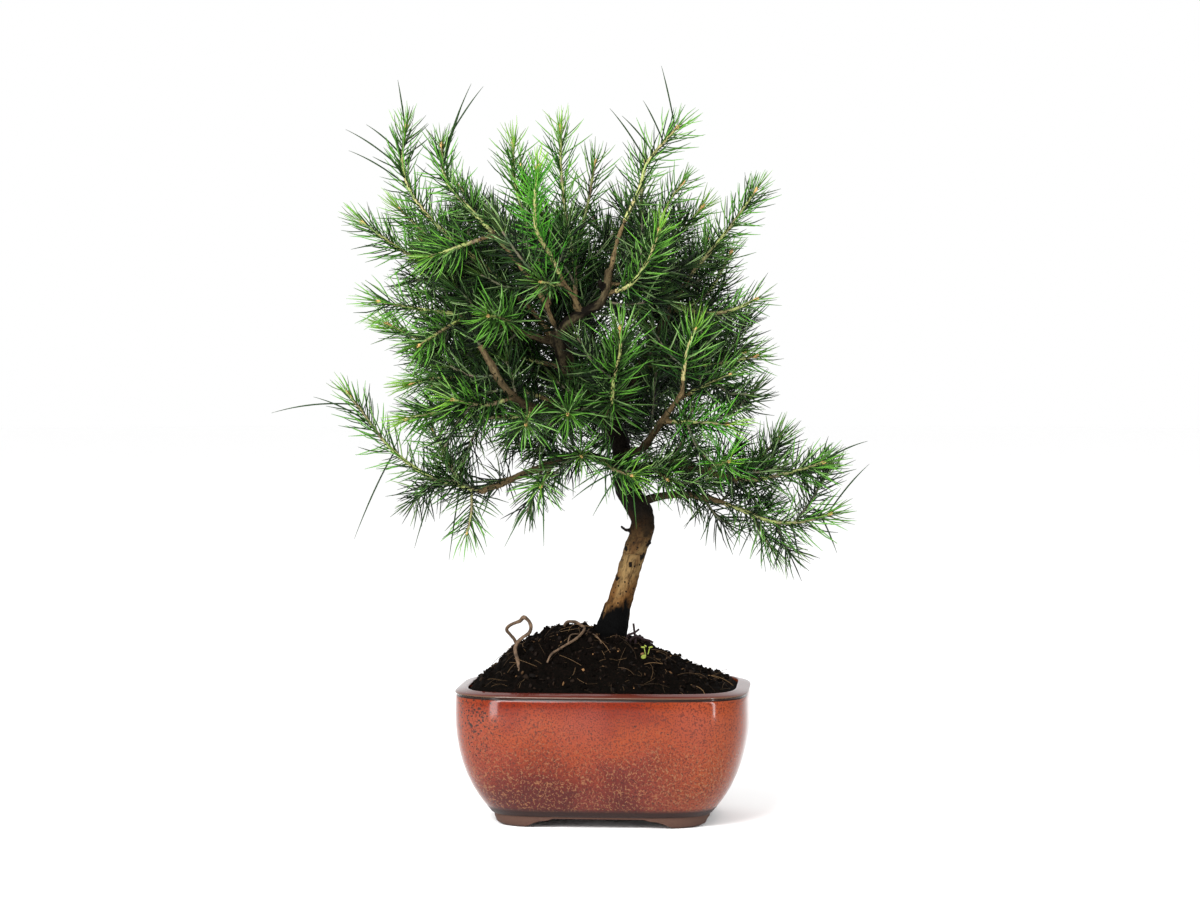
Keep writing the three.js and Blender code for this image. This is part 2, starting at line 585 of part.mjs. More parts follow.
// Needles all round a stem, at golden-angle steps: they lean forward more towards the tip,
// and one that would touch something is drawn again.
function needlesAlong(owner, frames, count, length, draw) {
  const solids = [];
  for (let i = 0; i < count; i += 1) {
    const share = ((i + 0.5) / count) ** TIP_CROWDING;
    for (let attempt = 0; attempt < NEEDLE_TRIES; attempt += 1) {
      const along = THREE.MathUtils.clamp(share + (draw() - 0.5) / count, ROOT_INSET, 1 - ROOT_INSET);
      const frame = frameAt(frames, along);
      const aroundSpread = AROUND_SPREAD + attempt * AROUND_WIDENING;
      const around = i * GOLDEN_ANGLE + (draw() - 0.5) * aroundSpread;
      const leanSpread = (draw() - 0.5) * LEAN_SPREAD;
      const lean = THREE.MathUtils.lerp(LEAN_START, LEAN_TIP, along ** LEAN_POWER) + leanSpread;
      const cut = attempt > SHORTER_AFTER ? SHORTER_SHARE : 1;
      const size = length * (SHORTEST_SHARE + LENGTH_SPREAD * draw()) * cut;
      const tip = frame.centre.clone();
      tip.addScaledVector(frame.across, Math.cos(around) * Math.sin(lean) * size);
      tip.addScaledVector(frame.aside, Math.sin(around) * Math.sin(lean) * size);
      tip.addScaledVector(frame.tangent, Math.cos(lean) * size);
      if (isClear(owner, frame.centre, tip)) {
        takeStretch(owner, frame.centre, tip, NEEDLE_RADIUS, true);
        solids.push(needleSolid(frame.centre, tip, null));
        break;
      }
    }
  }
  return solids;
}

function stemRadiusAt(share) {
  return THREE.MathUtils.lerp(STEM_RADIUS, STEM_TIP_RADIUS, share);
}

// Each shoot's bare start belongs to the wood, and its leafy stem begins a small gap on.
const shoots = SHOOTS.map(([name, bare, count, length, color, points, longTips, sidePoints], order) => {
  const curve = curveThrough(points);
  const size = curve.getLength();
  const bareEnd = bare / size;
  const leafStart = bareEnd + GAP / size;
  const bareFrames = framesAlong(curve, 0, bareEnd, Math.max(1, Math.ceil(bare / SHOOT_STEP)));
  const leafFrames = framesAlong(curve, leafStart, 1, Math.max(2, Math.ceil((size - bare) / SHOOT_STEP)));
  const sides = sidePoints.map((side) => framesAlong(curveThrough(side), 0, 1, 2));
  const longNeedles = longTips.map(([share, x, y, z]) => {
    const root = frameAt(leafFrames, share).centre;
    const tip = new THREE.Vector3(x, y, z);
    return { root, tip, bend: new THREE.Vector3(0, 0, root.distanceTo(tip) * LONG_BEND) };
  });
  const joinRadius = stemRadiusAt(bareEnd);
  return { name, count, length, color, order, bareFrames, leafFrames, joinRadius, sides, longNeedles };
});

// The wood: trunk, branches and the bare start of each shoot, in one body.
function woodSolid() {
  const foot = new THREE.CylinderGeometry(
    TRUNK_FOOT_RADIUS, TRUNK_FOOT_RADIUS, TRUNK_FOOT_TOP - TRUNK_FOOT_BOTTOM, TRUNK_FOOT_SIDES);
  foot.rotateX(Math.PI / 2);
  foot.translate(TRUNK_FOOT.x, TRUNK_FOOT.y, (TRUNK_FOOT_TOP + TRUNK_FOOT_BOTTOM) / 2);
  const solids = [solidOf(foot)];
  LIMBS.forEach(([, startRadius, endRadius, sides, points]) => {
    const curve = curveThrough(points);
    const step = startRadius > THICK_LIMB ? TRUNK_STEP : LIMB_STEP;
    const frames = framesAlong(curve, 0, 1, Math.ceil(curve.getLength() / step));
    solids.push(solidOf(limbGeometry(frames, startRadius, endRadius, sides)));
    takeLimb("wood", frames, startRadius, endRadius);
  });
  shoots.forEach(({ bareFrames, joinRadius }) => {
    solids.push(solidOf(limbGeometry(bareFrames, STEM_RADIUS, joinRadius, STEM_SIDES)));
    takeLimb("wood", bareFrames, STEM_RADIUS, joinRadius);
  });
  return fuse(solids);
}

// The stems and long needles of every shoot are taken before any short needle is drawn.
function takeShoot({ name, leafFrames, joinRadius, longNeedles, sides }) {
  takeLimb(name, leafFrames, joinRadius, STEM_TIP_RADIUS);
  sides.forEach((side) => takeLimb(name, side, SIDE_RADIUS, STEM_TIP_RADIUS));
  longNeedles.forEach(({ root, tip, bend }) => {
    const middle = root.clone().add(tip).multiplyScalar(0.5).add(bend);
    takeStretch(name, root, middle, NEEDLE_RADIUS, true);
    takeStretch(name, middle, tip, NEEDLE_RADIUS, false);
  });
}

// A leafy shoot: its green stem as a slim core, its side shoots and all its needles.
function shootSolid(shoot) {
  const { name, count, length, order, leafFrames, joinRadius, longNeedles, sides } = shoot;
  const draw = seededDraw(FIRST_SEED + SEED_STEP * order);
  const solids = [solidOf(limbGeometry(leafFrames, joinRadius, STEM_TIP_RADIUS, STEM_SIDES))];
  sides.forEach((side) => {
    solids.push(solidOf(limbGeometry(side, SIDE_RADIUS, STEM_TIP_RADIUS, STEM_SIDES)));
  });
  longNeedles.forEach(({ root, tip, bend }) => {
    solids.push(needleSolid(root, tip, bend));
  });
  solids.push(...needlesAlong(name, leafFrames, count, length, draw));
  sides.forEach((side) => {
    solids.push(...needlesAlong(name, side, SIDE_NEEDLES, length * SIDE_LENGTH_SHARE, draw));
  });
  return fuse(solids);
}

// A root or twig through points given over the soil, and the plain hole it stands in: the
// same path, fatter all round and a little longer at both ends.
function planted(points, [startRadius, endRadius], sides) {
  const placed = points.map(([x, y, over]) => [x, y, soilHeight(x, y) + over]);
  const curve = curveThrough(placed);
  const frames = framesAlong(curve, 0, 1, Math.ceil(curve.getLength() / ROOT_STEP));
  const solid = solidOf(limbGeometry(frames, startRadius, endRadius, sides));
  const wide = frames.map((frame) => ({ ...frame, centre: frame.centre.clone() }));
  wide[0].centre.addScaledVector(wide[0].tangent, -HOLE_CLEARANCE);
  wide.at(-1).centre.addScaledVector(wide.at(-1).tangent, HOLE_CLEARANCE);
  const hole = solidOf(limbGeometry(wide, startRadius + HOLE_CLEARANCE, endRadius + HOLE_CLEARANCE, sides));
  return { solid, hole };
}

const loopRoot = planted(LOOP_ROOT, LOOP_ROOT_RADII, ROOT_SIDES);
const frontRoot = planted(FRONT_ROOT, FRONT_ROOT_RADII, ROOT_SIDES);
const twigStem = planted(TWIG_STEM, TWIG_RADII, TWIG_SIDES);
const twigFork = planted(TWIG_FORK, TWIG_RADII, TWIG_SIDES);
const twigSide = planted(TWIG_SIDE, TWIG_RADII, TWIG_SIDES);
const sproutStem = planted(SPROUT_STEM, SPROUT_RADII, TWIG_SIDES);
const sproutSide = planted(SPROUT_SIDE, SPROUT_RADII, TWIG_SIDES);

const leaf = new THREE.SphereGeometry(1, 6, 4);
leaf.scale(...SPROUT_LEAF_SIZE);
leaf.rotateY(0.3);
leaf.translate(30, -24, soilHeight(30, -24) + 10);

const holeRadius = TRUNK_FOOT_RADIUS + HOLE_CLEARANCE;
const footHole = new THREE.CylinderGeometry(holeRadius, holeRadius, FOOT_HOLE_DEPTH, TRUNK_FOOT_SIDES);
footHole.rotateX(Math.PI / 2);
footHole.translate(TRUNK_FOOT.x, TRUNK_FOOT.y, TRUNK_FOOT_BOTTOM - GAP + FOOT_HOLE_DEPTH / 2);

const planting = [loopRoot, frontRoot, twigStem, twigFork, twigSide, sproutStem, sproutSide];
const holes = [solidOf(footHole), ...planting.map(({ hole }) => hole)];

const pot = new THREE.Group();
pot.add(piece("pot", potSolid(), GLAZE, 0.25));

// The tree and what grows in the soil stand turned a little to the pot.
const tree = new THREE.Group();
tree.add(piece("wood", woodSolid(), BARK, 0.9));
tree.add(piece("loop_root", loopRoot.solid, OLD_ROOT, 0.85));
tree.add(piece("front_root", frontRoot.solid, OLD_ROOT, 0.85));
tree.add(piece("dead_twig", fuse([twigStem.solid, twigFork.solid, twigSide.solid]), DEAD_WOOD, 0.9));
tree.add(piece("seedling", fuse([sproutStem.solid, sproutSide.solid, solidOf(leaf)]), SPROUT, 0.7));
shoots.forEach(takeShoot);
shoots.forEach((shoot) => {
  tree.add(piece(shoot.name, shootSolid(shoot), shoot.color, 0.6));
});
tree.rotation.z = TREE_TURN;

const turnedHoles = holes.map((hole) => hole.rotate([0, 0, THREE.MathUtils.radToDeg(TREE_TURN)]));
pot.add(piece("soil", soilSolid(turnedHoles), PEAT, 1));

// The origin is on the ground, below the middle of the whole object.
const bonsai = new THREE.Group();
bonsai.add(pot, tree);
bonsai.updateMatrixWorld(true);
const bounds = new THREE.Box3().setFromObject(bonsai, true);
const middle = bounds.getCenter(new THREE.Vector3());
bonsai.position.set(-middle.x, -middle.y, 0);

export default bonsai;
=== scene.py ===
"""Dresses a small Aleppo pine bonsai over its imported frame. Metres, +Z up.

The tree is drawn in millimetres in a frame of its own, as its solids are: x to the right as the
front is seen, y away from the front, z up from the ground below the middle of the pot.
"""

import math
from functools import partial

import bpy
import numpy as np
from bpy.props import FloatProperty, FloatVectorProperty, IntProperty, PointerProperty
from mathutils import Matrix, Quaternion, Vector, noise


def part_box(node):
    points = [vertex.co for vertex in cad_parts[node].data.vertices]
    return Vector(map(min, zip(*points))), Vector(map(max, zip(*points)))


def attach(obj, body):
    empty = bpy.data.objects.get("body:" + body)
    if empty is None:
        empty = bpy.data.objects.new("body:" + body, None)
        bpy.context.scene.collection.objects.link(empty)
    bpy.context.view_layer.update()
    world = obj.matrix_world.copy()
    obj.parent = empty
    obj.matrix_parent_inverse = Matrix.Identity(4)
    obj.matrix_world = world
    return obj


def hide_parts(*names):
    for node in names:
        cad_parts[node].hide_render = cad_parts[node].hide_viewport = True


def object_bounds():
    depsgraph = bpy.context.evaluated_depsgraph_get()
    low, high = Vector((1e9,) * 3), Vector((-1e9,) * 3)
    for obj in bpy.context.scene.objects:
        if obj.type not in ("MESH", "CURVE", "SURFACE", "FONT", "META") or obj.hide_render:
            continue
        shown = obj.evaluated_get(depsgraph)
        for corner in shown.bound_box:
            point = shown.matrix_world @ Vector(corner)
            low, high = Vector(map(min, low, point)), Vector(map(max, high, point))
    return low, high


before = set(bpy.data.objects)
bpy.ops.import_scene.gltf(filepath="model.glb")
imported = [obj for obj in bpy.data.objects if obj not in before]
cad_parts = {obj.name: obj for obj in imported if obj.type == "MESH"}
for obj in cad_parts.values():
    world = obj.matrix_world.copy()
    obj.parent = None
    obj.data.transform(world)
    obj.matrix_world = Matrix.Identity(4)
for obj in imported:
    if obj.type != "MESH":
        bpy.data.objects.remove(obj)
CAD_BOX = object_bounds()

bl_info = {
    "name": "Aleppo Pine Bonsai",
    "version": (1, 0, 0),
    "blender": (4, 5, 0),
    "location": "View3D > Sidebar > Bonsai",
    "description": "Builds a needled pine bonsai in a glazed pot over its packed frame",
    "category": "Object",
}

MM = 0.001

# The pot's own measures, from the frame
POT_LOW, POT_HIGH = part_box("pot")
POT_MIDDLE = np.array([(POT_LOW.x + POT_HIGH.x) / 2, (POT_LOW.y + POT_HIGH.y) / 2, 0])
POT_HALF_LENGTH = (POT_HIGH.x - POT_LOW.x) / 2 / MM
POT_HALF_WIDTH = (POT_HIGH.y - POT_LOW.y) / 2 / MM
RIM_HEIGHT = POT_HIGH.z / MM
FOOT_HEIGHT = 7.5
# How square the plan is, and how much closer its points stand at the corners
CORNER_POWER = 4.4
CORNER_CROWDING = 0.1
POT_SIDES = 256

# Half length and height at points along the pot's section, zone by zone: up the wall, over the rim,
# and down inside
POT_SECTION = {
    "wall": [
        (0, 7.5), (20, 7.5), (34, 7.5), (42, 7.5), (60, 7.5), (72, 7.5), (73.6, 7.7), (74.6, 8.4),
        (77, 11.3), (80, 15), (83.6, 20.2), (87, 26), (90.7, 34), (93.5, 42), (95.6, 50.5), (97, 59),
        (97.6, 66), (97.8, 74), (97.7, 81), (97.5, 84), (97.3, 86)],
    # The groove under the rim's lip, painted dark as shade
    "dark_line": [(96.9, 86.5), (96.5, 86.9), (96.5, 87.4), (96.9, 87.8)],
    # The rim's edge, painted pale as a highlight
    "rim_edge": [(97.6, 88), (98, 88.4), (97.9, 88.8)],
    "rim": [
        (97.4, 89.2), (95.5, 89.8), (93.5, 90.3), (91.8, 90.7), (90.8, 90.95), (90.1, 91), (89.6, 90.7)],
    "inside": [
        (89.4, 90), (89.5, 86), (89.5, 74), (88.5, 59), (85, 42), (80, 30), (74, 20), (70, 16.4), (66, 16),
        (42, 16), (34, 16), (20, 16), (0, 16)],
}
# The glaze's thick dark lower edge: where it starts, and how wide it is
HEM_HEIGHT = 11
HEM_WIDTH = 3
FOOT_PROFILE = [(58, 8.5), (58, 4), (58, 0.5), (58.5, 0), (67.5, 0), (68.6, 0.2), (70.8, 1.4), (71.5, 2.2),
                (72.4, 5), (73, 8.5)]
# Half widths of the openings between the feet: at the ground, and at the top
FRONT_ARCH = (49, 30)
SIDE_ARCH = (33, 18)
ARCH_HEIGHT = FOOT_HEIGHT - 1
# The S curve at each end of an opening, as shares of its height from its top down to the foot
ARCH_CURVE = (1, 0.8, 0.7, 0.62, 0.48, 0)
# The corner with the most burst bubbles in its glaze
PITTED_CORNER = (-90, -60, 73)
# Edges of the pot that turn by more than this stay crisp
CREASE_ANGLE = math.radians(38)
# The drain holes: their radius, how far they lie from the middle, and the height of their cutter
DRAIN_RADIUS = 6
DRAIN_OFFSET = 38
DRAIN_LOW = 2
DRAIN_HIGH = 22
DRAIN_SIDES = 32

# The mound's height over its edge at shares of the way out from its top, to the left and to the right
HILL_TOP_X = -12
HILL_LEFT = [(0, 39.5), (0.09, 40.5), (0.18, 39.7), (0.32, 37.2), (0.42, 33.6), (0.5, 31.2), (0.62, 26.8),
             (0.71, 20.6), (0.79, 13), (0.95, 5), (1, 0)]
HILL_RIGHT = [(0, 39.5), (0.05, 38.4), (0.27, 32.4), (0.35, 30), (0.45, 25.6), (0.54, 19.4), (0.67, 13.6),
              (0.8, 8.2), (0.95, 3), (1, 0)]
SOIL_EDGE = 89
SOIL_BELOW_RIM = 2
SOIL_SIDES = 220
SOIL_RINGS = 90
SOIL_WALL = [(SOIL_EDGE - 0.7, 84), (88.6, 74), (87.6, 59), (84.2, 42), (77.6, 27), (68, 17)]
# The mound's lumps, clods and crumbs: their width in mm, and their share of the lump height
LUMPS = ((11, 0.9), (4.5, 0.75), (1.9, 0.4))
LUMP_SEED = 3.7
# How steeply the lumps fade out toward the edge, and how many rings there hold nothing loose
LUMP_FADE = 9
BARE_RINGS = 4
# What is strewn on the mound: the smallest copy as a share of the largest, the most tilt in radians,
# and the seed
STREWN = {
    "peat_clods": (0.3, 3.1, 21),
    "bark_chips": (0.4, 0.6, 8),
    "peat_splinters": (0.3, 0.9, 15),
    "root_fibres": (0.2, 0.35, 4),
}

TREE_TURN = math.radians(4.5)
CURVE_STEPS = 24
FULL_TURN = 6.283
# Distance between the points of a line through a limb, a stub, a root, a leafy stem and an inner twig
LIMB_STEP = 2.5
STUB_STEP = 1.5
ROOT_STEP = 1.0
STEM_STEP = 2.0
TWIG_STEP = 3
LIMB_SIDES = 18
ROOT_SIDES = 12
# A shoot's bare start runs this far into its leafy stem
STEM_OVERLAP = 0.6
STUB_TAPER = 0.75
# Radii in metres at which wood is wholly a young twig, and wholly an old limb
TWIG_RADII = (0.0018, 0.003)
# Widths in metres of the unevenness of bark and of root skin, and the root's as a share of its radius
BARK_WIDTH = 0.0028
ROOT_SKIN_WIDTH = 0.0022
ROOT_SKIN_RELIEF = 0.3
# The two noises that make it: each one's width and height, as multiples of the given ones
SKIN_NOISE = ((2.6, 0.8), (1, 0.5))
# Groups in which the wood's corners are looked up, to save memory
SEARCH_GROUPS = 60

# Each limb of bare wood: name, radius at its start, radius at its end, points, and the distance
# along it from which it carries twigs
LIMBS = [
    ("trunk", 8.4, 5.2, [
        (4, 0, 124), (6, 0, 136), (10, 0, 145), (15, -1, 162), (21, -2, 182), (25, -3, 195),
        (26, -3, 205), (21, -2, 214), (17, 0, 223), (13, 3, 240), (9, 5, 257), (-3, 0, 273),
        (-17, -14, 290), (-27, -32, 312), (-31, -44, 328)], 135),
    ("root flare", 11.5, 9, [(4, 0, 124), (9, 0, 143)], None),
    ("buried foot", 11.5, 11.5, [(4, 0, 97), (4, 0, 126)], None),
    ("elbow", 7.6, 7.4, [
        (20, -2, 180), (24.5, -3, 190), (26, -3, 197), (22.5, -2, 208), (15, -1, 221),
        (11, 2, 240)], None),
    ("elbow knot", 8.4, 8.2, [(25, -3, 194), (26, -3, 199)], None),
    ("front branch", 3.6, 2.6, [
        (-29, -38, 320), (-26, -48, 332), (-15, -55, 340), (-3, -58, 346), (1, -60, 356),
        (3, -62, 368)], 6),
    ("cut branch", 3.2, 2.3, [
        (-10, -6, 281), (-30, -28, 279), (-48, -48, 278), (-59, -60, 285), (-67, -68, 294),
        (-74, -72, 307), (-81, -74, 319)], 15),
    ("low left branch", 3.4, 2, [
        (14, 3, 234), (0, -6, 241), (-13, -16, 245), (-30, -26, 243), (-43, -32, 237),
        (-55, -36, 233), (-69, -38, 227), (-82, -38, 222)], 22),
    ("low right branch", 3.2, 1.9, [
        (20, -2, 212), (34, -12, 217), (44, -20, 219), (52, -26, 220), (63, -30, 218), (77, -32, 215)], 20),
    ("right middle branch", 3.6, 2, [
        (14, 2, 232), (31, -8, 238), (50, -18, 239), (67, -26, 235), (85, -32, 230)], 12),
    ("right branch", 3, 1.9, [(11, 3, 246), (24, -12, 249), (39, -32, 270), (51, -46, 287)], 10),
    ("upper right branch", 4.6, 2.4, [
        (3, 4, 264), (19, 22, 291), (32, 16, 319), (43, 6, 340), (52, 0, 357)], 10),
    ("left middle branch", 3, 1.9, [
        (-29, -38, 319), (-56, -34, 328), (-76, -32, 335), (-96, -35, 339)], 8),
    ("back branch", 4, 2.2, [(12, 4, 244), (8, 22, 262), (0, 44, 290), (-8, 62, 322)], 12),
    ("back left branch", 4, 2.2, [(0, 2, 270), (-24, 24, 290), (-50, 44, 312), (-78, 56, 334)], 10),
    ("back right branch", 3.4, 2, [(16, 19, 286), (38, 40, 310), (56, 52, 336)], 6),
    ("top branch", 4, 2.2, [(-27, -32, 312), (-32, -8, 345), (-36, 20, 375)], 6),
]

# Inner twigs: their spacing along what carries them, their length, and their lean from it in radians
TWIG_SPACING = 11
TWIG_LENGTH = (24, 44)
TWIG_LEAN = (0.75, 1.15)
# On a shoot they start at this share of its bare length, and this much further out
BARE_SHARE = 0.3
FIRST_TWIG = 4
# They end higher or lower than straight ones would, by these shares of their length
TWIG_RISE = 0.22
TWIG_DROOP = -0.15
# In front of this depth, none points further to the front than the limit
FRONT_DEPTH = -20
FRONT_LIMIT = -0.5
# The open rim of the crown, in mm: no inner twig stands above the first, nor right of the second
# above the third, nor left of the fourth. Left of the fifth and below the sixth, twigs hang down.
INNER_TOP = 388
INNER_RIGHT = 60
INNER_RIGHT_TOP = 335
INNER_LEFT = -108
DROOP_LEFT = -14
DROOP_TOP = 292
# They stand on this share of each shoot, from its limb out
INNER_SHARE = 0.66
INNER_NEEDLE_LENGTH = 22
# The inner foliage is parted in four: from these places to the back, the left and the right
BACK_FROM = 20
LEFT_FROM = -50
RIGHT_FROM = 20

# Short stubs of old side twigs: radius, points
STUBS = [
    (1.3, [(21, -4, 194), (15, -7, 194.5), (12.4, -8, 196), (11, -8, 198)]),
    (2, [(26, -6, 184), (29.6, -7, 186), (30.6, -7, 187)]),
    (1.8, [(22, -6, 175), (25.4, -7, 177), (26.2, -7, 178)]),
    (1.6, [(17, -6, 180), (14.4, -7, 182), (13.6, -7, 183)]),
    (1.7, [(12, -4, 160), (8.4, -6, 162), (7.6, -6, 163)]),
    (1.4, [(18, -6, 170), (17.4, -9, 171.6), (17.4, -9.6, 172)]),
    (2.2, [(-1, -60, 356), (-3, -66, 360), (-3, -67, 361)]),
]

